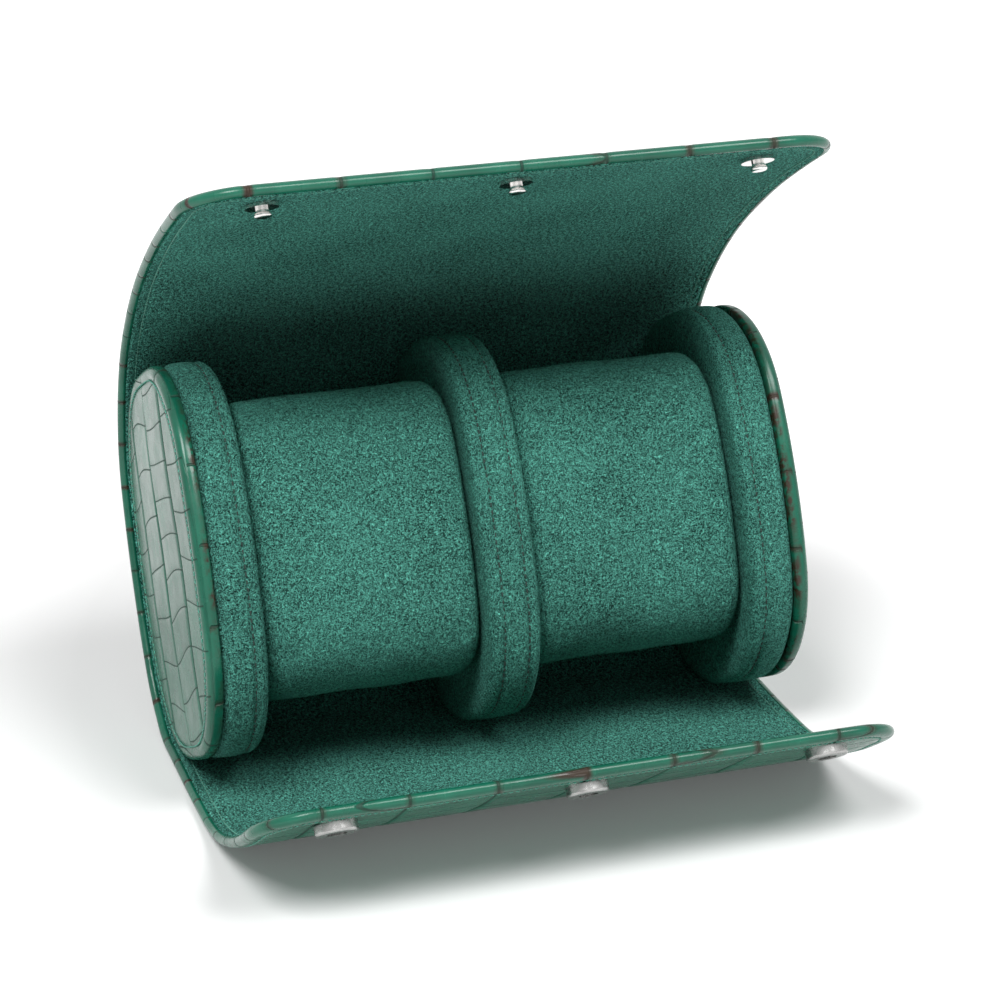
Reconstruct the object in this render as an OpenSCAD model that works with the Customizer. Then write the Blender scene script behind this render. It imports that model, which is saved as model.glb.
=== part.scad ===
// Watch travel case: a leather roll with a lid flap, a front flap, two padded
// ends, a padded divider and two removable watch pillows.
// Millimetres. X runs along the roll, -Y is the front, +Z is up, and the origin
// is on the floor under the middle of the roll's oval section.

/* [Oval section] */
// Long axis of the oval ends and divider
oval_length = 96; // [90:1:104]
// Short axis of the oval ends and divider
oval_width = 76; // [70:1:82]
// Radius of the oval's four corners
oval_corner_r = 31; // [26:0.5:33]
// Radius of the oval's two long sides
oval_side_r = 131; // [110:1:170]
// Radius of the oval's two short ends
oval_tip_r = 190; // [120:1:260]
// Angle of the long axis above the floor, so that the roll leans back
lean = 62.5; // [55:0.5:75]

/* [Roll] */
// Length over the two leather end discs
roll_length = 152; // [146:0.5:170]
// Length of the wrap, which stands proud of the end discs
wrap_length = 156; // [153:0.5:174]
// Gap between the wrap's lining and the parts that it is glued to
wrap_fit = 0.2; // [0.1:0.05:0.4]

/* [Wrap layers] */
// Thickness of the outer leather
leather_t = 1; // [0.8:0.1:1.6]
// Thickness of the stiffening board
board_t = 1; // [0.9:0.1:2]
// Thickness of the suede lining
lining_t = 0.7; // [0.6:0.1:1.2]
// Width of the leather that is turned in round the wrap's rim
rim = 2; // [1.5:0.1:3]
// Gap between the turned rim and the board and lining inside it
rim_fit = 0.1; // [0.05:0.05:0.2]

/* [Base] */
// Where the wrap leaves the oval under the back, as an angle before its lowest point
base_leave = 30; // [20:1:40]
// Radius of the bend from the back to the flat base
base_bend_r = 14; // [8:1:20]
// Flat base in front of the oval's lowest point
base_front = 14; // [12:0.5:20]

/* [Lid flap] */
// Angle on the oval's back, measured from its upper tip, where the lid starts
lid_leave = 57; // [50:0.5:62]
// Length of the lid flap along its lining
lid_length = 137; // [130:0.5:140]
// Turn of each lid panel from the back to the free edge
lid_turns = [32, 14.5, 7.5, 3];

/* [Front flap] */
// Length of the front flap along its lining
front_length = 90; // [86:0.5:94]
// Turn of each front panel from the base to the free edge
front_turns = [3, 22, 10, 3];

/* [Flaps] */
// Radius of the flaps' free corners
flap_corner_r = 15; // [8:1:20]
// Gap between neighbouring panels
panel_gap = 0.2; // [0.1:0.05:0.4]

/* [Padded ends] */
// Thickness of the leather end disc
disc_t = 3.8; // [3:0.1:5]
// Thickness of the suede pad inside each end disc
end_pad_t = 11.2; // [8:0.2:14]
// Thickness of the divider
divider_t = 13; // [10:0.5:16]
// Thickness of the suede covers
suede_t = 1.1; // [0.8:0.1:1.6]
// Distance of a pad's seam from its face
seam_in = 3.4; // [2.8:0.1:4]
// Edge radius of the suede pads
pad_edge_r = 2.6; // [1.8:0.1:2.8]
// Edge radius of the leather end discs
disc_edge_r = 1.9; // [1.3:0.1:2.2]
// Gap between a cover and its filling
fill_fit = 0.05; // [0.02:0.01:0.1]

/* [Pillows] */
// Long axis of a pillow's section
pillow_length = 73.6; // [66:0.2:76]
// Short axis of a pillow's section
pillow_depth = 46; // [40:1:50]
// Radius of the four corners of a pillow's section
pillow_corner_r = 19; // [15:0.5:20]
// How far a pillow's front lies behind the divider's front
pillow_back = 4.4; // [2:0.2:8]
// Gap between a pillow's end and the pad beside it
pillow_gap = 0.3; // [0.2:0.1:1]
// Edge radius of a pillow's ends
pillow_edge_r = 4; // [3:0.5:6]

/* [Snaps] */
// Distance of the outer snaps from the middle one
snap_pitch = 59; // [50:0.5:64]
// Distance of the studs from the lid's free edge
stud_inset = 11.5; // [10.5:0.1:16]
// Distance of the sockets from the front flap's free edge
socket_inset = 9.5; // [9:0.1:14]
// Radius of the shank that joins the two halves of a snap
shank_r = 1; // [0.9:0.05:1.1]
// Clearance round a shank
shank_fit = 0.05; // [0.03:0.01:0.1]
// Radius of a stud's flange
stud_flange_r = 3.9; // [3.6:0.1:4.6]
// Thickness of a stud's flange
stud_flange_t = 0.9; // [0.7:0.1:1]
// Radius of a stud's neck
stud_neck_r = 1.5; // [1.4:0.05:1.6]
// Radius of a stud's head
stud_head_r = 2; // [1.85:0.05:2.15]
// Height of a stud's rounded head
stud_head_t = 1.2; // [1:0.1:1.4]
// Depth of the bore in a stud that takes the cap's shank
stud_bore = 1.6; // [1.3:0.1:1.7]
// Height of a stud above the lining
stud_height = 3.1; // [3:0.05:3.15]
// Radius of the plain cap outside the lid
cap_r = 5.2; // [4.8:0.1:6]
// Height of the plain cap
cap_t = 1.2; // [0.9:0.1:1.6]
// Radius of a socket
socket_r = 5; // [4.7:0.1:5.6]
// Height of a socket above the leather
socket_t = 2.4; // [2.3:0.05:2.5]
// Thickness of a socket's floor
socket_floor = 0.35; // [0.3:0.05:0.4]
// Rounding of a socket's upper edge
socket_edge_r = 0.6; // [0.4:0.1:0.8]
// Clearance between a stud's head and its socket's mouth
mouth_fit = 0.3; // [0.2:0.05:0.5]
// Radius of the socket's spring wire
spring_wire_r = 0.35; // [0.3:0.05:0.4]
// Height of the groove that holds the spring
groove_t = 0.9; // [0.85:0.05:0.95]
// Clearance round the spring in its groove
groove_fit = 0.2; // [0.1:0.05:0.3]
// Radius of the anchor under the front lining
anchor_r = 3.6; // [3:0.1:4]
// Thickness of the anchor under the front lining
anchor_t = 0.5; // [0.4:0.1:0.7]

/* [Hidden] */
$fn = 96;

bow = 0.06;             // how far a chord may stand off its arc

leather_colour = "#0d6b4a";
suede_colour = "#1f7a63";
board_colour = "#b9a789";
foam_colour = "#5d6a66";
metal_colour = "#c9c9cc";

wrap_t = lining_t + board_t + leather_t;
panels = 4;
snap_places = [-snap_pitch, 0, snap_pitch];

function radians(a) = a * PI / 180;

// ---- The oval: eight tangent arcs ----
// An oval is [half length, half width, corner r, side r, tip r, corner centre u,
// corner centre v, angle where the tip arc ends, angle where the side arc starts].
function oval_of(a, b, rc, rs, rt) =
    let (
        side_v = b - rs,                // centre of the side arc, on the v axis
        tip_u = a - rt,                 // centre of the tip arc, on the u axis
        r_side = rs - rc,               // the corner centre's distance from each
        r_tip = rt - rc,
        apart = norm([tip_u, side_v]),
        along = (r_side * r_side - r_tip * r_tip + apart * apart) / (2 * apart),
        off = sqrt(r_side * r_side - along * along),
        step = [tip_u, -side_v] / apart,
        cu = along * step[0] + off * -step[1],
        cv = side_v + along * step[1] + off * step[0],
        far_u = along * step[0] - off * -step[1],
        far_v = side_v + along * step[1] - off * step[0],
        c = cu + cv > far_u + far_v ? [cu, cv] : [far_u, far_v]
    )
    [a, b, rc, rs, rt, c[0], c[1],
     atan2(c[1], c[0] - tip_u), atan2(c[1] - side_v, c[0])];

case_oval = oval_of(oval_length / 2, oval_width / 2, oval_corner_r, oval_side_r, oval_tip_r);
pillow_side_r = 1.6 * pillow_length;
pillow_tip_r = 1.4 * pillow_depth;
pillow_oval = oval_of(pillow_length / 2, pillow_depth / 2, pillow_corner_r,
                      pillow_side_r, pillow_tip_r);

// The eight arcs of an oval, each [centre u, centre v, radius, first angle, turn].
function oval_arcs(o) = [
    [o[0] - o[4], 0, o[4], -o[7], 2 * o[7]],
    [o[5], o[6], o[2], o[7], o[8] - o[7]],
    [0, o[1] - o[3], o[3], o[8], 180 - 2 * o[8]],
    [-o[5], o[6], o[2], 180 - o[8], o[8] - o[7]],
    [o[4] - o[0], 0, o[4], 180 - o[7], 2 * o[7]],
    [-o[5], -o[6], o[2], 180 + o[7], o[8] - o[7]],
    [0, o[3] - o[1], o[3], 180 + o[8], 180 - 2 * o[8]],
    [o[5], -o[6], o[2], 360 - o[8], o[8] - o[7]],
];

// Steps along an arc of radius r so that its chords stay within bow of it.
function arc_steps(r, turn) = max(1, round(r * radians(abs(turn)) / sqrt(8 * r * bow)));

// Points along an arc, without its last one.
function arc_points(c, r, first, turn) =
    let (steps = arc_steps(r, turn))
    [for (i = [0 : steps - 1])
        c + r * [cos(first + turn * i / steps), sin(first + turn * i / steps)]];

// The outline of an oval grown by off.
function oval_points(o, off) = [
    for (a = oval_arcs(o)) each arc_points([a[0], a[1]], a[2] + off, a[3], a[4])
];

// The filled oval, grown by off.
module oval(o, off = 0) {
    polygon(oval_points(o, off));
}

// A thin slice of a soft shape: the oval shrunk by inset, from z up by thick.
module slice(o, inset, z, thick = 0.01) {
    translate([0, 0, z]) linear_extrude(thick) polygon(oval_points(o, -inset));
}

// A block with square edges at z = 0 and a rounded edge at z = deep.
module soft_block(o, inset, edge_r, deep, low = 0) {
    hull() {
        slice(o, inset, low, deep - edge_r - low);
        for (at = [45, 90])
            slice(o, inset + edge_r * (1 - cos(at)), deep - 0.01 - edge_r * (1 - sin(at)));
    }
}

// The lowest point of the case's oval is on its lower back corner arc.
low_centre = [
    -case_oval[5] * cos(lean) + case_oval[6] * sin(lean),
    -case_oval[5] * sin(lean) - case_oval[6] * cos(lean),
];
axis_h = -low_centre[1] + oval_corner_r + wrap_fit + wrap_t;

// Draws in the section plane: x goes to the back, y goes up and z goes along +X.
module section(x = 0) {
    translate([x, 0, axis_h]) rotate([90, 0, 90]) children();
}

// The same, turned so that x lies along the oval's long axis and y to the front.
module leaning(x = 0) {
    section(x) rotate(lean) children();
}

// ---- The flaps: chains of rigid panels, each one arc ----
function sum_to(list, n, i = 0) = i >= n ? 0 : list[i] + sum_to(list, n, i + 1);

// A flap is [first point on the lining, first heading, side, length, turns]. Side 1
// turns left as it goes and -1 turns right; the lining is on the inside of the turn.
lid_at = lean - lid_leave;
lid_flap = [
    [case_oval[5] * cos(lean) + case_oval[6] * sin(lean)
         + (oval_corner_r + wrap_fit) * cos(lid_at),
     case_oval[5] * sin(lean) - case_oval[6] * cos(lean)
         + (oval_corner_r + wrap_fit) * sin(lid_at)],
    lid_at + 90, 1, lid_length, lid_turns,
];
front_flap = [
    [low_centre[0] - base_front, wrap_t - axis_h],
    180, -1, front_length, front_turns,
];

function panel_length(f) = f[3] / panels;
function heading(f, k) = f[1] + f[2] * sum_to(f[4], k);
function panel_r(f, k) = panel_length(f) / radians(f[4][k]);
function arc_centre(f, k) =
    panel_start(f, k) + f[2] * panel_r(f, k) * [-sin(heading(f, k)), cos(heading(f, k))];
function panel_start(f, k) =
    k == 0 ? f[0]
    : arc_centre(f, k - 1)
      + f[2] * panel_r(f, k - 1) * [sin(heading(f, k)), -cos(heading(f, k))];

// Part of panel k between two distances from the lining, cut short along the flap
// at its two ends and narrowed at its two sides.
module panel_layer(f, k, inner, outer, cut_start, cut_end, narrow) {
    r = panel_r(f, k);
    skip = cut_start / r * 180 / PI;
    turn = f[4][k] - (cut_start + cut_end) / r * 180 / PI;
    first = heading(f, k) - 90 * f[2] + f[2] * skip;
    width = wrap_length - 2 * narrow;
    section() translate(arc_centre(f, k)) rotate(f[2] > 0 ? first : first - turn)
        rotate_extrude(angle = turn)
            translate([r + inner, -width / 2]) square([outer - inner, width]);
}

// A frame at a distance back from a flap's free edge: its x runs towards the edge,
// its y along the roll and its z away from the lining's face, where it starts.
function free_heading(f, back) =
    heading(f, panels) - f[2] * back / panel_r(f, panels - 1) * 180 / PI;
function free_point(f, back) =
    arc_centre(f, panels - 1)
    + f[2] * panel_r(f, panels - 1)
      * [sin(free_heading(f, back)), -cos(free_heading(f, back))];

module at_free(f, back) {
    section() translate(free_point(f, back)) rotate(free_heading(f, back))
        rotate([90 * f[2], 0, 0]) children();
}

// Prism over the free panel with its two free corners rounded, inset from the rim.
module tip_outline(f, inset) {
    reach = panel_length(f) + 4;    // past the panel's other end
    depth = 30;                     // past both faces of the curved panel
    r = flap_corner_r - inset;
    half = wrap_length / 2 - inset;
    at_free(f, 0) translate([0, 0, -depth / 2]) linear_extrude(depth) {
        translate([-reach, -half]) square([reach - inset - r, 2 * half]);
        translate([-inset - r, r - half]) square([r, 2 * (half - r)]);
        for (s = [-1, 1]) translate([-inset - r, s * (half - r)]) circle(r = r);
    }
}

// One layer of the free panel, rounded at its free corners.
module tip_layer(f, inner, outer, inset, cut_start = panel_gap / 2) {
    intersection() {
        panel_layer(f, panels - 1, inner, outer, cut_start, 0, 0);
        tip_outline(f, inset);
    }
}

// The holes through a free panel that the snaps' shanks pass.
module snap_holes(f, inset, from, to) {
    for (p = snap_places) at_free(f, inset) translate([0, p, from])
        cylinder(r = shank_r + shank_fit, h = to - from);
}

module panel_leather(f, k, snap_at) {
    color(leather_colour)
    if (k < panels - 1) difference() {
        panel_layer(f, k, 0, wrap_t, panel_gap / 2, panel_gap / 2, 0);
        panel_layer(f, k, -1, lining_t + board_t, 0, 0, rim);
    } else difference() {
        tip_layer(f, 0, wrap_t, 0);
        tip_layer(f, -1, lining_t + board_t, rim, 0);
        snap_holes(f, snap_at, 0, wrap_t + 1);
    }
}

module panel_board(f, k, snap_at) {
    color(board_colour)
    if (k < panels - 1)
        panel_layer(f, k, lining_t, lining_t + board_t, panel_gap / 2, panel_gap / 2,
                    rim + rim_fit);
    else difference() {
        tip_layer(f, lining_t, lining_t + board_t, rim + rim_fit);
        snap_holes(f, snap_at, 0, wrap_t + 1);
    }
}

module panel_lining(f, k) {
    color(suede_colour)
    if (k < panels - 1)
        panel_layer(f, k, 0, lining_t, panel_gap / 2, panel_gap / 2, rim + rim_fit);
    else tip_layer(f, 0, lining_t, rim + rim_fit);
}

// ---- The fixed back of the wrap ----
back_r = oval_corner_r + wrap_fit;
upper_centre = [
    case_oval[5] * cos(lean) + case_oval[6] * sin(lean),
    case_oval[5] * sin(lean) - case_oval[6] * cos(lean),
];
side_centre = (oval_side_r - oval_width / 2) * [-sin(lean), cos(lean)];
upper_at = lean - case_oval[8];         // where the upper corner meets the side
lower_at = lean - 180 + case_oval[8];   // where the side meets the lower corner
leave_at = base_leave - 90;
tangent_l = back_r * tan(base_leave / 2);
bend_l = base_bend_r * tan(base_leave / 2);
bend_centre = [low_centre[0] + tangent_l - bend_l, wrap_t - axis_h + base_bend_r];
base_front_y = front_flap[0][0];

// The line of one face of the back and base, off away from the lining, from the lid
// down round the oval to the base's front edge. trim shortens it at both ends.
function back_line(off, trim) =
    let (
        upper = arc_points(upper_centre, back_r + off, lid_at, upper_at - lid_at),
        ahead = upper[1] - upper[0]
    )
    concat(
        [upper[0] + trim * ahead / norm(ahead)],
        [for (i = [1 : len(upper) - 1]) upper[i]],
        arc_points(side_centre, oval_side_r + wrap_fit + off, upper_at, lower_at - upper_at),
        arc_points(low_centre, back_r + off, lower_at, leave_at - lower_at),
        [low_centre + (back_r + off) * [cos(leave_at), sin(leave_at)]],
        arc_points(bend_centre, base_bend_r + off, leave_at, -90 - leave_at),
        [
            bend_centre - [0, base_bend_r + off],
            [base_front_y + trim, wrap_t - axis_h - off],
        ]
    );

// One layer of the fixed back between two distances from the lining's face.
module back_layer(inner, outer, narrow, trim) {
    width = wrap_length - 2 * narrow;
    face = back_line(outer, trim);
    section() translate([0, 0, -width / 2]) linear_extrude(width)
        polygon(concat(back_line(inner, trim),
                       [for (i = [len(face) - 1 : -1 : 0]) face[i]]));
}

module back_leather() {
    color(leather_colour) difference() {
        back_layer(0, wrap_t, 0, panel_gap / 2);
        back_layer(-wrap_fit, lining_t + board_t, rim, -1);
    }
}

module back_board() {
    color(board_colour)
        back_layer(lining_t, lining_t + board_t, rim + rim_fit, panel_gap / 2);
}

module back_lining() {
    color(suede_colour) back_layer(0, lining_t, rim + rim_fit, panel_gap / 2);
}

// ---- Padded ends and divider: covers sewn from a face and a band over foam ----
// A cover's face: open at z = 0, with its flat face at z = deep.
module cover_face(o, edge_r, deep, t) {
    difference() {
        soft_block(o, 0, edge_r, deep);
        soft_block(o, t, edge_r - t, deep - t, -1);
    }
}

// A cover's band from z = 0 to z = wide.
module cover_band(o, wide, t) {
    linear_extrude(wide) difference() {
        oval(o);
        oval(o, -t);
    }
}

// A filling from z = 0 to z = wide, relieved where the cover's edges are round.
module filling(o, wide, inset, edge_r) {
    linear_extrude(wide) oval(o, -edge_r);
    translate([0, 0, edge_r]) linear_extrude(wide - 2 * edge_r) oval(o, -inset);
}

disc_in = roll_length / 2 - disc_t;     // the end discs' inner face
pad_in = disc_in - end_pad_t;           // the end pads' inner face
fill_inset = suede_t + fill_fit;

// side is -1 for the left end and 1 for the right end; the pads face inwards.
module at_end(side, x) {
    leaning(side * x) mirror([0, 0, side > 0 ? 0 : 1]) children();
}

module end_leather(side) {
    color(leather_colour) at_end(side, disc_in)
        cover_face(case_oval, disc_edge_r, disc_t, leather_t);
}

module end_board(side) {
    thick = disc_t - leather_t - fill_fit;
    color(board_colour) at_end(side, disc_in)
        linear_extrude(thick) oval(case_oval, -disc_edge_r);
}

module pad_face(side) {
    color(suede_colour) at_end(side, pad_in + seam_in) mirror([0, 0, 1])
        cover_face(case_oval, pad_edge_r, seam_in, suede_t);
}

module pad_band(side) {
    color(suede_colour) at_end(side, pad_in + seam_in)
        cover_band(case_oval, end_pad_t - seam_in, suede_t);
}

module pad_foam(side) {
    color(foam_colour) at_end(side, pad_in + fill_inset)
        filling(case_oval, end_pad_t - fill_inset, fill_inset, pad_edge_r);
}

module divider_face(side) {
    color(suede_colour) at_end(side, divider_t / 2 - seam_in)
        cover_face(case_oval, pad_edge_r, seam_in, suede_t);
}

module divider_band() {
    color(suede_colour) leaning(seam_in - divider_t / 2)
        cover_band(case_oval, divider_t - 2 * seam_in, suede_t);
}

module divider_foam() {
    color(foam_colour) leaning(fill_inset - divider_t / 2)
        filling(case_oval, divider_t - 2 * fill_inset, fill_inset, pad_edge_r);
}

// ---- Pillows ----
bay_in = divider_t / 2;                         // a watch bay's side at the divider
pillow_w = pad_in - bay_in - 2 * pillow_gap;    // a pillow's length along the roll
pillow_mid = (pad_in + bay_in) / 2;
pillow_v = oval_width / 2 - pillow_back - pillow_depth / 2;
pillow_seam = pillow_edge_r + 1;                // its seam's distance from its end

module at_pillow(side, z) {
    leaning(side * pillow_mid) translate([0, pillow_v, z]) children();
}

module pillow_sleeve(side) {
    color(suede_colour) at_pillow(side, pillow_seam - pillow_w / 2)
        cover_band(pillow_oval, pillow_w - 2 * pillow_seam, suede_t);
}

module pillow_ends(side) {
    color(suede_colour) at_pillow(side, 0) for (m = [0, 1]) mirror([0, 0, m])
        translate([0, 0, pillow_w / 2 - pillow_seam])
            cover_face(pillow_oval, pillow_edge_r, pillow_seam, suede_t);
}

module pillow_foam(side) {
    long = pillow_w - 2 * fill_inset;
    color(foam_colour) at_pillow(side, -long / 2)
        filling(pillow_oval, long, fill_inset, pillow_edge_r);
}

// ---- Snaps ----
mouth_r = stud_head_r + mouth_fit;
ring_r = stud_head_r + mouth_fit / 4 + spring_wire_r;   // middle of the spring's wire
groove_r = ring_r + spring_wire_r + groove_fit;         // radius of the spring's groove
hole_r = shank_r + shank_fit;

// The flat flange of a stud stands on the curved lining by its front and back edges.
module lid_studs() {
    seat = stud_flange_r * stud_flange_r / (2 * panel_r(lid_flap, panels - 1)) + fill_fit;
    high = stud_height - seat;
    color(metal_colour) for (p = snap_places) at_free(lid_flap, stud_inset)
        translate([0, p, -seat]) mirror([0, 0, 1]) difference() {
            union() {
                cylinder(r = stud_flange_r, h = stud_flange_t);
                cylinder(r = stud_neck_r, h = high - stud_head_t / 2);
                translate([0, 0, high - stud_head_t / 2]) rotate_extrude() {
                    translate([0, -stud_head_t / 2])
                        square([stud_head_r - stud_head_t / 2, stud_head_t]);
                    intersection() {
                        translate([stud_head_r - stud_head_t / 2, 0])
                            circle(r = stud_head_t / 2);
                        translate([0, -stud_head_t]) square([stud_head_r, 2 * stud_head_t]);
                    }
                }
            }
            translate([0, 0, -1]) cylinder(r = hole_r, h = stud_bore + 1);
        }
}

module lid_stud_caps() {
    dome_r = (cap_r * cap_r + cap_t * cap_t) / (2 * cap_t);
    shank = wrap_t + stud_bore - shank_fit;
    color(metal_colour) for (p = snap_places) at_free(lid_flap, stud_inset)
        translate([0, p, wrap_t]) {
            intersection() {
                cylinder(r = cap_r, h = cap_t);
                translate([0, 0, cap_t - dome_r]) sphere(r = dome_r);
            }
            translate([0, 0, -shank]) cylinder(r = shank_r, h = shank + cap_t / 2);
        }
}

module front_sockets() {
    color(metal_colour) for (p = snap_places) at_free(front_flap, socket_inset)
        translate([0, p, wrap_t]) difference() {
            rotate_extrude() {
                square([socket_r, socket_t - socket_edge_r]);
                square([socket_r - socket_edge_r, socket_t]);
                translate([socket_r - socket_edge_r, socket_t - socket_edge_r])
                    circle(r = socket_edge_r);
            }
            translate([0, 0, socket_floor]) cylinder(r = mouth_r, h = socket_t);
            translate([0, 0, socket_floor + groove_t / 2])
                cylinder(r = groove_r, h = groove_t);
            translate([0, 0, -1]) cylinder(r = hole_r, h = socket_t);
        }
}

module front_socket_springs() {
    color(metal_colour) for (p = snap_places) at_free(front_flap, socket_inset)
        translate([0, p, wrap_t + socket_floor + groove_t])
            rotate_extrude() translate([ring_r, 0]) circle(r = spring_wire_r);
}

module front_socket_anchors() {
    color(metal_colour) for (p = snap_places) at_free(front_flap, socket_inset)
        translate([0, p, lining_t]) {
            cylinder(r = anchor_r, h = anchor_t);
            cylinder(r = shank_r, h = wrap_t - lining_t + socket_floor);
        }
}

module front_board(k) {
    if (k < panels - 1) panel_board(front_flap, k, socket_inset);
    else color(board_colour) difference() {
        panel_board(front_flap, k, socket_inset);
        for (p = snap_places) at_free(front_flap, socket_inset)
            translate([0, p, lining_t - 1])
                cylinder(r = anchor_r + shank_fit, h = anchor_t + shank_fit + 1);
    }
}

module lid_lining(k) {
    if (k < panels - 1) panel_lining(lid_flap, k);
    else color(suede_colour) difference() {
        panel_lining(lid_flap, k);
        snap_holes(lid_flap, stud_inset, -1, wrap_t);
    }
}

back_leather();
back_board();
back_lining();
end_leather(-1);  // left_end_leather
end_leather(1);  // right_end_leather
end_board(-1);  // left_end_board
end_board(1);  // right_end_board
pad_face(-1);  // left_pad_face
pad_face(1);  // right_pad_face
pad_band(-1);  // left_pad_band
pad_band(1);  // right_pad_band
pad_foam(-1);  // left_pad_foam
pad_foam(1);  // right_pad_foam
divider_face(-1);  // divider_left_face
divider_face(1);  // divider_right_face
divider_band();
divider_foam();
panel_leather(lid_flap, 0, stud_inset);  // lid_leather_1
panel_leather(lid_flap, 1, stud_inset);  // lid_leather_2
panel_leather(lid_flap, 2, stud_inset);  // lid_leather_3
panel_leather(lid_flap, 3, stud_inset);  // lid_leather_4
panel_board(lid_flap, 0, stud_inset);  // lid_board_1
panel_board(lid_flap, 1, stud_inset);  // lid_board_2
panel_board(lid_flap, 2, stud_inset);  // lid_board_3
panel_board(lid_flap, 3, stud_inset);  // lid_board_4
lid_lining(0);  // lid_lining_1
lid_lining(1);  // lid_lining_2
lid_lining(2);  // lid_lining_3
lid_lining(3);  // lid_lining_4
panel_leather(front_flap, 0, socket_inset);  // front_leather_1
panel_leather(front_flap, 1, socket_inset);  // front_leather_2
panel_leather(front_flap, 2, socket_inset);  // front_leather_3
panel_leather(front_flap, 3, socket_inset);  // front_leather_4
front_board(0);  // front_board_1
front_board(1);  // front_board_2
front_board(2);  // front_board_3
front_board(3);  // front_board_4
panel_lining(front_flap, 0);  // front_lining_1
panel_lining(front_flap, 1);  // front_lining_2
panel_lining(front_flap, 2);  // front_lining_3
panel_lining(front_flap, 3);  // front_lining_4
lid_studs();
lid_stud_caps();
front_sockets();
front_socket_springs();
front_socket_anchors();
pillow_sleeve(-1);  // left_pillow_sleeve
pillow_sleeve(1);  // right_pillow_sleeve
pillow_ends(-1);  // left_pillow_ends
pillow_ends(1);  // right_pillow_ends
pillow_foam(-1);  // left_pillow_foam
pillow_foam(1);  // right_pillow_foam
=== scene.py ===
"""The looks of a watch travel case: an oval leather roll that opens into a lid flap
and a front flap, with padded ends, a padded divider and two lift-out watch pillows.

Sizes are in millimetres in the classes and become metres as a mesh is made. X runs
along the roll, -Y is the front and +Z is up. The studio's places are in metres.

A field that ends in _over holds the start and the width of an S-shaped rise, one that
ends in _long the length of a wave, and one that ends in _bump a strength and metres.
"""

from __future__ import annotations

import logging
import math
from dataclasses import dataclass
from enum import Enum
from typing import Callable, Sequence

import bmesh
import bpy
import numpy as np
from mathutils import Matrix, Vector


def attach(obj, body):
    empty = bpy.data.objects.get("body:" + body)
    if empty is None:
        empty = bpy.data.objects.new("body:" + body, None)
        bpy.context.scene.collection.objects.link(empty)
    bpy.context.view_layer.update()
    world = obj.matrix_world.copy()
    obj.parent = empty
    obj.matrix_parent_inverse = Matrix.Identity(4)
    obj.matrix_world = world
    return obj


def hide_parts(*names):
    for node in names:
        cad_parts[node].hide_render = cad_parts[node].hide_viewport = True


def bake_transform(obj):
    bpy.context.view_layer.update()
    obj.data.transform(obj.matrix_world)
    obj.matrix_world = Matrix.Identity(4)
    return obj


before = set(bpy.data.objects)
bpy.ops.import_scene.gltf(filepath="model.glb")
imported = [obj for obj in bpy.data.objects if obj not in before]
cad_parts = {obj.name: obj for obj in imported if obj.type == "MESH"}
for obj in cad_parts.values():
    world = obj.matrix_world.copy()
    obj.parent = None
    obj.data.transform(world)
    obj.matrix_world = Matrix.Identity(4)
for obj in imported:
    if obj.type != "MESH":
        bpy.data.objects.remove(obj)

MM = 0.001
TINY = 1e-6
HALF_PI = math.pi / 2
Array = np.ndarray
Node = bpy.types.Node
Piece = bpy.types.Object
Pair = tuple[float, float]
Triple = tuple[float, float, float]
Plug = int | str
Values = dict[str, Array]
log = logging.getLogger("watch_case")


class Coords(Enum):
    """Where a finish reads its pattern: the sheet's own flat lay, or the space it sits in."""

    FLAT = "UV"
    SPACE = "Object"


class Side(Enum):
    """The two ends of the roll."""

    LEFT = -1
    RIGHT = 1


# ---------------------------------------------------------------- plain curves

SCATTER_WEIGHTS = (127.1, 311.7)
SCATTER_REACH = 43758.5453
RIPPLE_WAVES = 5
RIPPLE_SHARE = 3.2      # divides the waves' sum, so that it stays near -1 to 1
GOLDEN_ANGLE = 2.399    # radians between the directions of two waves


def smooth(t: Array) -> Array:
    """An S-shaped step: 0 below 0, 1 above 1, and 3t^2 - 2t^3 between."""
    t = np.clip(t, 0.0, 1.0)
    return t * t * (3 - 2 * t)


def rise(t: Array, over: Pair) -> Array:
    """The S-shaped step of (t - a) / b, where over is a, its start, and b, its width."""
    return smooth((t - over[0]) / over[1])


def bell(d: Array, width: float) -> Array:
    """A bump of height 1 at d = 0: exp(-(d / width)^2)."""
    return np.exp(-((d / width) ** 2))


def scatter(a: Array, b: Array) -> Array:
    """A fixed pseudo-random number from 0 to 1 for each pair of whole numbers.

    The fraction part of a large multiple of the sine of a weighted sum.

    Args:
        a: First whole number of each pair.
        b: Second whole number of each pair.

    Returns:
        Array like a, from 0 to 1.
    """
    x = np.sin(a * SCATTER_WEIGHTS[0] + b * SCATTER_WEIGHTS[1]) * SCATTER_REACH
    return x - np.floor(x)


def ripple(p: Array, scale: float, seed: float) -> Array:
    """Soft irregular waves over space, from about -1 to 1.

    The mean of five sines whose directions and phases are fixed by the seed.

    Args:
        p: Points, n x 3, in millimetres.
        scale: Typical distance between crests.
        seed: Changes directions and phases.

    Returns:
        One value for each point.
    """
    total = np.zeros(len(p))
    for k in range(RIPPLE_WAVES):
        turn = seed * 1.7 + k * GOLDEN_ANGLE
        way = np.array([math.cos(turn), math.sin(turn), math.cos(k * 1.3 + seed)])
        total += np.sin(p @ way * (2 * math.pi / scale) * (1 + 0.17 * k) + k * 1.9 + seed)
    return total / RIPPLE_SHARE


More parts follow.
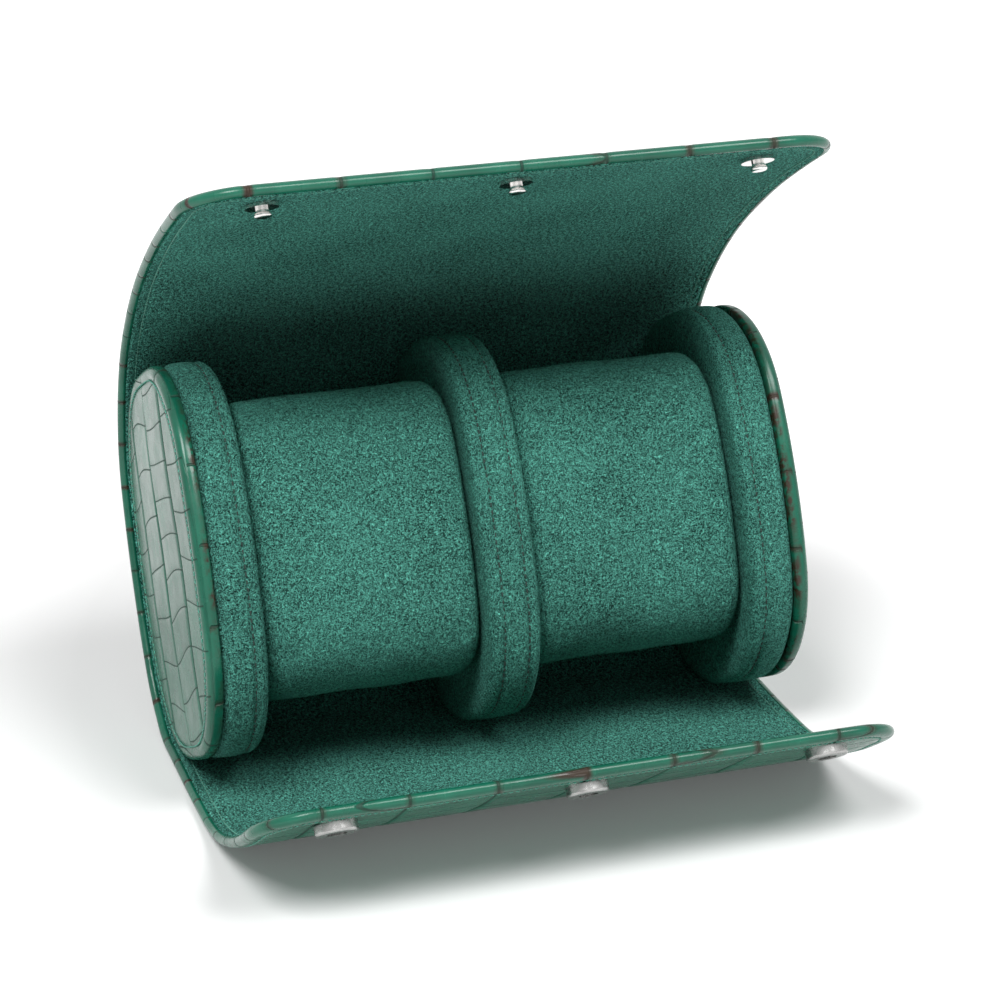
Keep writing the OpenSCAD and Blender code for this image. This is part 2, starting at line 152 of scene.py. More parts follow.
@dataclass(frozen=True)
class Embossing:
    """Belly scales pressed into leather: long columns, crossed like brickwork."""

    seed: float
    wide: float = 20.5
    valley: float = 0.85
    deep: float = 0.34
    column_sway: Pair = (0.9, 0.5)
    row_sway: Pair = (1.3, 0.6)

    def press(self, across: Array, along: Array) -> tuple[Array, Array, Array]:
        """The lay of the scales and the valleys between their columns.

        Both coordinates waver by sums of slow sines. The valley's depth falls off as
        exp(-(d / valley)^2) with the distance d from the nearest column edge.

        Args:
            across: Distance across the columns, in millimetres.
            along: Distance along the columns, in millimetres.

        Returns:
            Depth of the valley from 0 to deep, and the wavering coordinates across
            and along the columns, in columns and in millimetres.
        """
        k = self.seed
        slow, quick = self.column_sway
        a = across + slow * np.sin(along / 17.0 + 1.3 + k)
        a = a + quick * np.sin(along / 7.1 + across / 19.0 + k)
        slow, quick = self.row_sway
        b = along + slow * np.sin(along / 14.0 + across / 9.0 + k)
        b = b + quick * np.sin(across / 5.3 + 2.0 * k)
        column = a / self.wide
        d = np.abs(column - np.round(column)) * self.wide
        return self.deep * bell(d, self.valley), column, b


@dataclass(frozen=True)
class Oval:
    """An oval of eight tangent arcs: two tips, two sides and four corners."""

    length: float
    width: float
    corner_r: float
    side_r: float
    tip_r: float

    def arcs(self) -> Array:
        """The eight arcs from the upper tip's start, anticlockwise.

        A corner's centre lies corner_r inside both the side's and the tip's circle,
        so it is where the circles of radius side_r - corner_r and tip_r - corner_r
        round their two centres meet.

        Returns:
            8 x 5 array of centre u, centre v, radius, first angle and turn, in
            millimetres and radians.
        """
        a, b = self.length / 2, self.width / 2
        side_v, tip_u = b - self.side_r, a - self.tip_r
        r_side, r_tip = self.side_r - self.corner_r, self.tip_r - self.corner_r
        apart = math.hypot(tip_u, side_v)
        along = (r_side**2 - r_tip**2 + apart**2) / (2 * apart)
        off = math.sqrt(r_side**2 - along**2)
        step = (tip_u / apart, -side_v / apart)
        both = [
            (
                along * step[0] - s * off * step[1],
                side_v + along * step[1] + s * off * step[0],
            )
            for s in (1, -1)
        ]
        cu, cv = max(both, key=sum)
        tip = math.atan2(cv, cu - tip_u)
        side = math.atan2(cv - side_v, cu)
        rc, turn = self.corner_r, side - tip
        pi = math.pi
        return np.array(
            [
                [tip_u, 0, self.tip_r, -tip, 2 * tip],
                [cu, cv, rc, tip, turn],
                [0, side_v, self.side_r, side, pi - 2 * side],
                [-cu, cv, rc, pi - side, turn],
                [-tip_u, 0, self.tip_r, pi - tip, 2 * tip],
                [-cu, -cv, rc, pi + tip, turn],
                [0, -side_v, self.side_r, pi + side, pi - 2 * side],
                [cu, -cv, rc, 2 * pi - side, turn],
            ]
        )

    def outline(self, count: int) -> tuple[Array, Array, Array]:
        """Points evenly spaced round the oval.

        A distance round the oval is looked up among the arcs, and the point is the
        arc's centre plus its radius along the angle reached.

        Args:
            count: Number of points, the last one short of the first.

        Returns:
            Points n x 2, outward normals n x 2, and distances round the oval.
        """
        arcs = self.arcs()
        ends = np.cumsum(arcs[:, 2] * arcs[:, 4])
        s = np.linspace(0, ends[-1], count, endpoint=False)
        i = np.searchsorted(ends, s, side="right")
        arc = arcs[i]
        into = s - np.concatenate([[0], ends])[i]
        angle = arc[:, 3] + into / arc[:, 2]
        normal = np.column_stack([np.cos(angle), np.sin(angle)])
        return arc[:, :2] + arc[:, 2:3] * normal, normal, s

    def perimeter(self) -> float:
        """The way once round the oval: the sum of radius times turn over its arcs."""
        arcs = self.arcs()
        return float(np.sum(arcs[:, 2] * arcs[:, 4]))


PILLOW_LENGTH, PILLOW_DEPTH = 73.6, 46.0
CASE_OVAL = Oval(96.0, 76.0, 31.0, 131.0, 190.0)
PILLOW_OVAL = Oval(PILLOW_LENGTH, PILLOW_DEPTH, 19.0, 1.6 * PILLOW_LENGTH, 1.4 * PILLOW_DEPTH)


@dataclass(frozen=True)
class Track:
    """A line in the section plane made of arcs that turn left or run straight."""

    steps: Sequence[Pair]
    heading: float
    through: Pair
    through_at: float

    def raw(self, s: Array) -> tuple[Array, Array]:
        """Positions from the line's own start, and headings.

        Along an arc of curvature k from the heading h, the way to a distance d is
        (sin(h + kd) - sin h, cos h - cos(h + kd)) / k.

        Args:
            s: Distances from the line's start, in millimetres.

        Returns:
            Positions n x 2 and headings in radians.
        """
        lengths = np.array([a for a, _ in self.steps])
        turns = np.radians([t for _, t in self.steps])
        bend = np.where(np.abs(turns) < 1e-9, 1e-9, turns) / lengths
        starts = np.concatenate([[0], np.cumsum(lengths)[:-1]])
        heads = self.heading + np.concatenate([[0], np.cumsum(turns)[:-1]])

        def chord(h: Array, k: Array, d: Array) -> Array:
            """The way from an arc's start to a distance d along it."""
            across = np.stack([np.sin(h + k * d) - np.sin(h), np.cos(h) - np.cos(h + k * d)], -1)
            return across / k[..., None]

        corners = np.concatenate([[[0, 0]], np.cumsum(chord(heads, bend, lengths), 0)[:-1]])
        i = np.clip(np.searchsorted(starts, s, side="right") - 1, 0, len(lengths) - 1)
        d = s - starts[i]
        return corners[i] + chord(heads[i], bend[i], d), heads[i] + bend[i] * d

    def at(self, s: Array) -> tuple[Array, Array]:
        """Positions and headings, with the line moved to pass through its fixed point.

        Args:
            s: Distances from the line's start, in millimetres.

        Returns:
            Positions n x 2 (to the back, up), and headings in radians.
        """
        here, heading = self.raw(s)
        fixed, _ = self.raw(np.array([self.through_at]))
        return here - fixed[0] + np.array(self.through), heading


@dataclass(frozen=True)
class Leaning:
    """The leaning section plane: u along the oval's long axis, v to the front."""

    lean: float = 62.5
    axis_h: float = 51.4607

    def place(self, x: Array, u: Array, v: Array) -> Array:
        """Turns section coordinates into positions.

        (u, v) is turned by the lean and lifted by the axis's height.

        Args:
            x: Distances along the roll.
            u: Distances along the oval's long axis.
            v: Distances towards the front.

        Returns:
            n x 3 positions in millimetres.
        """
        c, s = math.cos(math.radians(self.lean)), math.sin(math.radians(self.lean))
        return np.column_stack([x, u * c - v * s, u * s + v * c + self.axis_h])


SECTION = Leaning()


# ---------------------------------------------------------------- mesh making


def grid_faces(index: Array, wrap: bool = False) -> Array:
    """Quads between neighbouring rows and columns of an index grid.

    Args:
        index: Rows x columns of vertex numbers.
        wrap: Also joins the last column to the first.

    Returns:
        n x 4 vertex numbers.
    """
    if wrap:
        index = np.column_stack([index, index[:, :1]])
    return np.stack(
        [index[:-1, :-1], index[:-1, 1:], index[1:, 1:], index[1:, :-1]], -1
    ).reshape(-1, 4)


def close_mesh(mesh: bpy.types.Mesh) -> None:
    """Fills a mesh's open ends with sharp-edged caps and turns its faces outwards.

    Args:
        mesh: The mesh, which is changed.
    """
    work = bmesh.new()
    work.from_mesh(mesh)
    open_edges = [e for e in work.edges if e.is_boundary]
    if open_edges:
        for e in open_edges:
            e.smooth = False
        bmesh.ops.holes_fill(work, edges=open_edges, sides=0)
    bmesh.ops.recalc_face_normals(work, faces=work.faces)
    work.to_mesh(mesh)
    work.free()


def make_mesh(
    name: str,
    points: Array,
    faces: Sequence[Array],
    flat: Array | None = None,
    values: Values | None = None,
    close: bool = True,
) -> Piece:
    """Puts arrays into a new smooth mesh object at the origin.

    Args:
        name: The piece's name.
        points: n x 3 positions in millimetres.
        faces: Arrays of quads or triangles.
        flat: n x 2 flat lay of the sheet in millimetres, kept as UV in metres.
        values: Named numbers, one for each vertex.
        close: Fills open ends and turns the faces outwards.

    Returns:
        The new object.
    """
    mesh = bpy.data.meshes.new(name)
    rows = [r for f in faces for r in np.asarray(f).tolist()]
    mesh.from_pydata((points * MM).tolist(), [], rows)
    for key, value in (values or {}).items():
        layer = mesh.attributes.new(key, "FLOAT", "POINT")
        layer.data.foreach_set("value", value.astype(np.float32))
    if flat is not None:
        loops = np.zeros(len(mesh.loops), np.int32)
        mesh.loops.foreach_get("vertex_index", loops)
        uv = mesh.uv_layers.new(name="flat")
        uv.data.foreach_set("uv", (flat[loops] * MM).astype(np.float32).ravel())
    if close:
        close_mesh(mesh)
    mesh.polygons.foreach_set("use_smooth", np.ones(len(mesh.polygons), bool))
    mesh.update()
    piece = bpy.data.objects.new(name, mesh)
    bpy.context.scene.collection.objects.link(piece)
    return piece


@dataclass(frozen=True)
class Thread:
    """A row of sewn stitches: short arched lengths of thread with a hole between."""

    pitch: float
    length: float
    radius: float
    rings: int = 6
    sides: int = 5

    def stitches(self, at: Array, along: Array, out: Array) -> tuple[Array, Array]:
        """The stitches as one set of vertices and quads.

        A stitch is a thin tube over t from -1/2 to 1/2 along its length. Its middle
        stands 0.75 radii above the surface and dives as 1.9 |2t|^5 radii, and its
        thickness is the root of 1 - |2.03t|^6 radii, so both ends close to small rings.

        Args:
            at: n x 3 middles of the stitches.
            along: n x 3 unit directions of the row.
            out: n x 3 unit normals of the surface.

        Returns:
            Vertices and quads.
        """
        rings, sides = self.rings, self.sides
        t = np.linspace(-0.5, 0.5, rings)
        thick = self.radius * np.sqrt(np.maximum(1 - (2.03 * np.abs(t)) ** 6, 0.02))
        lift = self.radius * (0.75 - 1.9 * (2 * np.abs(t)) ** 5)
        a = np.linspace(0, 2 * np.pi, sides, endpoint=False)
        lx = np.repeat(t * self.length, sides)
        ly = np.repeat(lift, sides) + np.outer(thick, np.sin(a)).ravel()
        lz = np.outer(thick, np.cos(a)).ravel()
        side = np.cross(along, out)
        v = (
            at[:, None]
            + along[:, None] * lx[None, :, None]
            + out[:, None] * ly[None, :, None]
            + side[:, None] * lz[None, :, None]
        )
        n = rings * sides
        one = grid_faces(np.arange(n).reshape(rings, sides), wrap=True)
        faces = (one[None] + (np.arange(len(at)) * n)[:, None, None]).reshape(-1, 4)
        return v.reshape(-1, 3), faces


# ---------------------------------------------------------------- finishes

NOISE_PART = (0.3, 0.7)     # the span that most of a noise's values lie in


class Graph:
    """A node tree, with short calls to add and join nodes."""

    def __init__(self, tree: bpy.types.NodeTree) -> None:
        """Takes a tree over and empties it."""
        self.nodes, self.links = tree.nodes, tree.links
        self.nodes.clear()

    def add(self, kind: str, **sockets: object) -> Node:
        """Adds a node.

        Args:
            kind: The node's type, such as "MixShader".
            sockets: Values of its inputs by name; an underscore stands for a space.

        Returns:
            The node.
        """
        node = self.nodes.new(f"ShaderNode{kind}")
        for key, value in sockets.items():
            node.inputs[key.replace("_", " ")].default_value = value
        return node

    def join(self, a: Node, plug: Plug, b: Node, socket: Plug) -> None:
        """Links one node's output to another's input."""
        self.links.new(a.outputs[plug], b.inputs[socket])

    def maths(self, kind: str, a: Node, b: Node | float, plug: Plug = 0) -> Node:
        """Adds a Math node on two values.

        Args:
            kind: The operation, such as "MULTIPLY".
            a: The node that gives the first value.
            b: The second value, or the node whose first output gives it.
            plug: The output of a that is read.

        Returns:
            The Math node.
        """
        node = self.add("Math")
        node.operation = kind
        self.join(a, plug, node, 0)
        if isinstance(b, float):
            node.inputs[1].default_value = b
        else:
            self.join(b, 0, node, 1)
        return node

    def span(self, node: Node, plug: Plug, start: Pair, end: Pair = (0.0, 1.0)) -> Node:
        """Maps a value from one span to another and clamps it.

        Args:
            node: The node that gives the value.
            plug: Its output.
            start: The span that the value comes from.
            end: The span that it goes to.

        Returns:
            The Map Range node.
        """
        names = ("From_Min", "From_Max", "To_Min", "To_Max")
        ranged = self.add("MapRange", **dict(zip(names, (*start, *end))))
        self.join(node, plug, ranged, "Value")
        return ranged

    def seen_by(self, *rays: str) -> Node:
        """Tells kinds of ray apart.

        Args:
            rays: Outputs of the Light Path node.

        Returns:
            A node that gives 1 where a ray of any of these kinds arrives, else 0.
        """
        path = self.add("LightPath")
        last, plug = path, rays[0]
        for ray in rays[1:]:
            larger = self.add("Math")
            larger.operation = "MAXIMUM"
            self.join(last, plug, larger, 0)
            self.join(path, ray, larger, 1)
            last, plug = larger, 0
        return last


@dataclass(frozen=True)
class Blotches:
    """A layer of noise: blotches in a metre, its detail and roughness, and the part of
    its values that is drawn out to 0 to 1."""

    scale: float
    layers: Pair
    part: Pair


class Tree(Graph):
    """A material's node tree round one shader."""

    def __init__(self, name: str) -> None:
        """Starts a material that holds only a shader and its output.

        Args:
            name: The material's name.
        """
        self.material = bpy.data.materials.new(name)
        self.material.use_nodes = True
        super().__init__(self.material.node_tree)
        self.out = self.add("OutputMaterial")
        self.shader = self.add("BsdfPrincipled")
        self.join(self.shader, 0, self.out, "Surface")

    def set(self, **sockets: object) -> None:
        """Sets the shader's own sockets; an underscore stands for a space."""
        for key, value in sockets.items():
            self.shader.inputs[key.replace("_", " ")].default_value = value

    def coords(self, where: Coords) -> Node:
        """The pattern's coordinates.

        Args:
            where: What they are fixed to.

        Returns:
            The Mapping node that they pass through.
        """
        mapping = self.add("Mapping")
        self.join(self.add("TexCoord"), where.value, mapping, "Vector")
        return mapping

    def noise(self, where: Node, scale: float, detail: float = 3.0, rough: float = 0.55) -> Node:
        """A noise texture read at the given coordinates.

        Args:
            where: The coordinates' node.
            scale: Blotches in a metre.
            detail: Number of finer layers.
            rough: Strength of each finer layer against the one before.

        Returns:
            The texture node.
        """
        node = self.add("TexNoise", Scale=scale, Detail=detail, Roughness=rough)
        self.join(where, 0, node, "Vector")
        return node

    def patches(self, where: Node, kind: Blotches, grain: float = 1.0) -> Node:
        """Noise drawn out to 0 to 1.

        Args:
            where: The coordinates' node.
            kind: The blotches.
            grain: Multiplies their number in a metre.

        Returns:
            The Map Range node.
        """
        return self.span(self.noise(where, kind.scale * grain, *kind.layers), 0, kind.part)

    def attribute(self, name: str) -> Node:
        """A value kept on the mesh's vertices.

        Args:
            name: The value's name.

        Returns:
            The Attribute node, whose output "Fac" is the value.
        """
        node = self.add("Attribute")
        node.attribute_name = name
        return node

    def kept(self, name: str, start: Pair) -> Node:
        """A value kept on the mesh's vertices, mapped from a span to 0 to 1."""
        return self.span(self.attribute(name), "Fac", start)

    def mix(self, share: Node, a: Triple | Node, b: Triple | Node) -> Node:
        """Mixes two colours.

        Args:
            share: The node that gives b's share, from 0 to 1.
            a: A colour, or a mix made before.
            b: The other colour.

        Returns:
            The Mix node, whose third output is the colour.
        """
        node = self.add("Mix")
        node.data_type = "RGBA"
        self.join(share, 0, node, 0)
        for socket, value in ((6, a), (7, b)):
            if isinstance(value, tuple):
                node.inputs[socket].default_value = (*value, 1.0)
            else:
                self.join(value, 2, node, socket)
        return node

    def colour(self, node: Node) -> None:
        """Makes a mixed colour the shader's base colour."""
        self.join(node, 2, self.shader, "Base Color")

    def bump(self, node: Node, strength: float, distance: float, under: Node | None = None) -> Node:
        """Raises the surface by a value.

        Args:
            node: The node that gives the height.
            strength: Share of the bump, from 0 to 1.
            distance: Metres that a height of 1 stands for.
            under: An earlier bump that this one lies on.

        Returns:
            The Bump node.
        """
        raised = self.add("Bump", Strength=strength, Distance=distance)
        self.join(node, 0, raised, "Height")
        if under is not None:
            self.join(under, 0, raised, "Normal")
        self.join(raised, 0, self.shader, "Normal")
        return raised


@dataclass(frozen=True)
class Suede:
    """Short-nap microsuede: speckled fibres whose near-black speckles are partly their own tone and
    partly painted shade between them, patches brushed either way whose lighter and darker tones are
    painted sheen, and soft sheen.
    """

    name: str
    coords: Coords
    grain: float = 1.0
    fibre: Blotches = Blotches(3500.0, (1.0, 0.7), (0.43, 0.57))
    clump: Blotches = Blotches(1500.0, (2.0, 0.7), (0.42, 0.59))
    brushed_sheen: Blotches = Blotches(42.0, (4.0, 0.6), (0.36, 0.64))
    shares: Triple = (0.54, 0.34, 0.12)
    dark: Triple = (0.002, 0.010, 0.008)
    light: Triple = (0.168, 0.640, 0.510)
    nap_deep: float = 0.0004
    clump_deep: float = 0.0006

    def material(self) -> bpy.types.Material:
        """Mixes dark and light by three layers of noise, and bumps the two finer ones. The
        near-black end is partly the fibres' own tone and partly painted shade between them; the
        brushed patches are painted sheen.

        Returns:
            The material.
        """
        tree = Tree(self.name)
        where = tree.coords(self.coords)
        fibre = tree.patches(where, self.fibre, self.grain)
        clump = tree.patches(where, self.clump, self.grain)
        brushed_sheen = tree.patches(where, self.brushed_sheen)
        share = tree.maths("MULTIPLY", fibre, self.shares[0])
        for layer, part in zip((clump, brushed_sheen), self.shares[1:]):
            share = tree.maths("ADD", share, tree.maths("MULTIPLY", layer, part))
        # Painted shade and sheen: the near-black speckles stand partly for shade between fibres,
        # and the brushed patches for the nap's sheen.
        tree.colour(tree.mix(share, self.dark, self.light))
        low = tree.bump(clump, 1.0, self.clump_deep)
        tree.bump(fibre, 1.0, self.nap_deep, low)
        tree.set(Roughness=0.95, Specular_IOR_Level=0.08)
        tree.set(Sheen_Weight=0.05, Sheen_Roughness=0.5, Sheen_Tint=(0.45, 0.9, 0.78, 1.0))
        return tree.material


@dataclass(frozen=True)
class ScaledLeather:
    """Glossy leather with pressed scales: valleys and fine creases across in darker greens,
    painted shade, scales of slightly different greens and browned creases where the rim is turned."""

    name: str
    coords: Coords
    row: float = 11.5
    fine: Pair = (0.26, 0.6)
    broad: Pair = (1.1, 1.0)
    # The crease and valley colours are painted shade in the grooves.
    crease: Triple = (0.003, 0.030, 0.018)
    valley: Triple = (0.003, 0.085, 0.050)
    deep: Triple = (0.003, 0.078, 0.046)
    bright: Triple = (0.008, 0.155, 0.092)
    brown: Triple = (0.030, 0.018, 0.009)
    clouds: Blotches = Blotches(95.0, (4.0, 0.6), (0.32, 0.68))
    patchy: Blotches = Blotches(45.0, (4.0, 0.65), (0.46, 0.60))
    specks: Blotches = Blotches(420.0, (3.0, 0.7), (0.40, 0.56))
    cloud_share: float = 0.6
    scale_share: float = 0.4
    crease_share: float = 0.85
    valley_part: Pair = (0.05, 0.9)
    worn_part: Pair = (0.1, 0.9)
    worn_lines: Pair = (0.1, 0.75)
    dull_lines: float = 0.7
    dull_valley: Pair = (0.1, 1.0)
    dull: Pair = (0.2, 0.85)
    glossy: Pair = (0.20, 0.32)
    gloss_noise: float = 160.0
    broad_deep: float = 0.35
    crease_bump: Pair = (0.8, 0.0003)
    wrinkle: Triple = (260.0, 3.0, 0.6)
    wrinkle_bump: Pair = (0.10, 0.0003)
    pore: Triple = (1100.0, 2.0, 0.6)
    pore_bump: Pair = (0.06, 0.0001)

    def bricks(self, tree: Tree, mortar: float, soft: float) -> Node:
        """The scales as brickwork in the leather's own wavering coordinates.

        Args:
            tree: The material's tree.
            mortar: Width of the creases, in millimetres.
            soft: Softness of their edges, from 0 to 1.

        Returns:
            The Brick Texture node.
        """
        lay = tree.add("CombineXYZ")
        tree.join(tree.attribute("along"), "Fac", lay, "X")
        tree.join(tree.maths("MULTIPLY", tree.attribute("column"), self.row, "Fac"), 0, lay, "Y")
        brick = tree.add(
            "TexBrick", Scale=1.0, Mortar_Size=mortar, Mortar_Smooth=soft,
            Brick_Width=self.row, Row_Height=self.row,
            Color1=(0, 0, 0, 1), Color2=(1, 1, 1, 1), Mortar=(0.5, 0.5, 0.5, 1),
        )
        brick.offset, brick.offset_frequency = 0.42, 2
        brick.squash, brick.squash_frequency = 0.82, 3
        tree.join(lay, 0, brick, "Vector")
        return brick

    def paint(self, tree: Tree, where: Node, crease: Node, broad: Node) -> None:
        """Colours the leather.

        Greens differ from scale to scale and in clouds. Valleys and creases are laid over
        them in darker greens as painted shade, and then the brown of worn creases and of the frayed
        edge.

        Args:
            tree: The material's tree.
            where: The pattern's coordinates.
            crease: The fine brickwork.
            broad: The broad brickwork.
        """
        cloud = tree.maths("MULTIPLY", tree.patches(where, self.clouds), self.cloud_share)
        shade = tree.maths("MULTIPLY", tree.span(crease, "Color", (0, 1)), self.scale_share)
        green = tree.mix(tree.maths("ADD", cloud, shade), self.deep, self.bright)
        # Painted shade: the valleys, and then the creases, take darker greens.
        green = tree.mix(tree.kept("valley", self.valley_part), green, self.valley)
        lines = tree.span(crease, "Fac", (0, 1), (0, self.crease_share))
        green = tree.mix(lines, green, self.crease)
        patchy, specks = tree.patches(where, self.patchy), tree.patches(where, self.specks)
        rims = tree.kept("worn", self.worn_part)
        worn = tree.maths("MULTIPLY", rims, tree.span(broad, "Fac", self.worn_lines))
        frayed = tree.maths("MULTIPLY", tree.kept("frayed", (0, 1)), specks)
        brown = tree.maths("MAXIMUM", tree.maths("MULTIPLY", worn, patchy), frayed)
        tree.colour(tree.mix(brown, green, self.brown))

    def gloss(self, tree: Tree, where: Node, crease: Node) -> None:
        """Dulls the valleys and creases, and varies the gloss a little elsewhere.

        Args:
            tree: The material's tree.
            where: The pattern's coordinates.
            crease: The fine brickwork.
        """
        lines = tree.span(crease, "Fac", (0, 1), (0, self.dull_lines))
        lows = tree.maths("MAXIMUM", tree.kept("valley", self.dull_valley), lines)
        dull = tree.span(lows, 0, (0, 1), self.dull)
        rough = tree.span(tree.noise(where, self.gloss_noise), 0, NOISE_PART, self.glossy)
        tree.join(tree.maths("MAXIMUM", rough, dull), 0, tree.shader, "Roughness")
        tree.set(Coat_Weight=0.04, Coat_Roughness=0.14, Specular_IOR_Level=0.36)

    def material(self) -> bpy.types.Material:
        """Colours and glosses the leather, and bumps its wrinkles, pores and creases.

        Returns:
            The material.
        """
        tree = Tree(self.name)
        where = tree.coords(self.coords)
        crease, broad = self.bricks(tree, *self.fine), self.bricks(tree, *self.broad)
        self.paint(tree, where, crease, broad)
        self.gloss(tree, where, crease)
        lines = tree.span(crease, "Fac", (0, 1), (1, 0))
        broad_lines = tree.span(broad, "Fac", (0, 1), (0, self.broad_deep))
        under = tree.bump(tree.noise(where, *self.wrinkle), *self.wrinkle_bump)
        under = tree.bump(tree.noise(where, *self.pore), *self.pore_bump, under)
        tree.bump(tree.maths("SUBTRACT", lines, broad_lines), *self.crease_bump, under)
        return tree.material


@dataclass(frozen=True)
class SewnThread:
    """Twisted thread, a little glossy, with painted shade between its fibres."""

    name: str
    colour: Triple
    fuzz: Blotches = Blotches(2600.0, (2.0, 0.55), (0.3, 0.7))
    fuzz_bump: Pair = (0.5, 0.0001)
    shaded: float = 0.45

    def material(self) -> bpy.types.Material:
        """Mixes the colour with a darker one, painted shade between fibres, by fine noise, and
        bumps it.

        Returns:
            The material.
        """
        tree = Tree(self.name)
        fuzz = tree.patches(tree.coords(Coords.SPACE), self.fuzz)
        # The darker share is painted shade between the fibres.
        tree.colour(tree.mix(fuzz, tuple(self.shaded * c for c in self.colour), self.colour))
        tree.bump(fuzz, *self.fuzz_bump)
        tree.set(Roughness=0.55, Sheen_Weight=0.2)
        return tree.material


@dataclass(frozen=True)
class PlatedMetal:
    """Plated metal with faint handling marks and slightly duller patches."""

    name: str
    colour: Triple
    rough: Pair
    marks: Triple = (700.0, 3.0, 0.6)
    marks_bump: Pair = (0.08, 0.00005)
    tone: Blotches = Blotches(260.0, (2.0, 0.55), (0.35, 0.65))
    dulled: float = 0.72

    def material(self) -> bpy.types.Material:
        """Varies gloss and tone by two layers of noise, and bumps the marks.

        Returns:
            The material.
        """
        tree = Tree(self.name)
        where = tree.coords(Coords.SPACE)
        marks = tree.noise(where, *self.marks)
        tree.join(tree.span(marks, 0, NOISE_PART, self.rough), 0, tree.shader, "Roughness")
        tone = tree.patches(where, self.tone)
        tree.colour(tree.mix(tone, tuple(self.dulled * c for c in self.colour), self.colour))
        tree.bump(marks, *self.marks_bump)
        tree.set(Metallic=1.0)
        return tree.material


class Finishes:
    """Every finish of the case, made once."""

    def __init__(self) -> None:
        """Builds the materials."""
        self.lining = Suede("lining_suede", Coords.FLAT, 0.62).material()
        self.pad = Suede("pad_suede", Coords.SPACE).material()
        self.skin = ScaledLeather("wrap_leather", Coords.FLAT).material()
        self.disc = ScaledLeather("disc_leather", Coords.SPACE).material()
        self.green_thread = SewnThread("green_thread", (0.090, 0.42, 0.31)).material()
        # Near black: painted shade in the pads' pulled-in seams.
        self.seam_shade_thread = SewnThread("seam_shade_thread", (0.004, 0.040, 0.028)).material()
        self.chrome = PlatedMetal("polished_metal", (0.78, 0.77, 0.75), (0.12, 0.24)).material()
        self.satin = PlatedMetal("satin_metal", (0.46, 0.46, 0.45), (0.18, 0.34)).material()


def dress(piece: Piece, finish: bpy.types.Material, slot: str, *nodes: str) -> Piece:
    """Gives a piece its finish, and hides the CAD nodes that it replaces.

    Args:
        piece: The piece.
        finish: Its material.
        slot: Not used.
        nodes: The CAD nodes that the piece replaces, if any.

    Returns:
        The piece.
    """
    piece.data.materials.append(finish)
    if nodes:
        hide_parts(*nodes)
    return piece


def settle(piece: Piece, body: str = "root") -> None:
    """Lets a piece move with a body, and reports it."""
    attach(piece, body)
    log.info("%s rides on %s", piece.name, body)


# ---------------------------------------------------------------- the wrap


@dataclass(frozen=True)
class Flap:
    """A part of the wrap: where it starts on the wrap's line, which way it runs from
    there, its length and its panels. The fixed part counts as endless."""

    name: str
    start: float
    way: int
    length: float
    panels: int = 4

    def on_line(self, t: Array) -> Array:
        """Distances along the wrap's line of distances t from the flap's start."""
        return self.start + self.way * t

    def is_tip(self, high: float) -> bool:
        """Whether a span that ends at high ends at the flap's free edge."""
        return high >= self.length - TINY

    def spans(self) -> list[Pair]:
        """The flap's spans, each from the middle of one panel to the next one's.

        Returns:
            Starts and ends as distances from the flap's start.
        """
        panel = self.length / self.panels
        cuts = [0.0] + [panel * (k + 0.5) for k in range(self.panels - 1)] + [self.length]
        return list(zip(cuts[:-1], cuts[1:]))


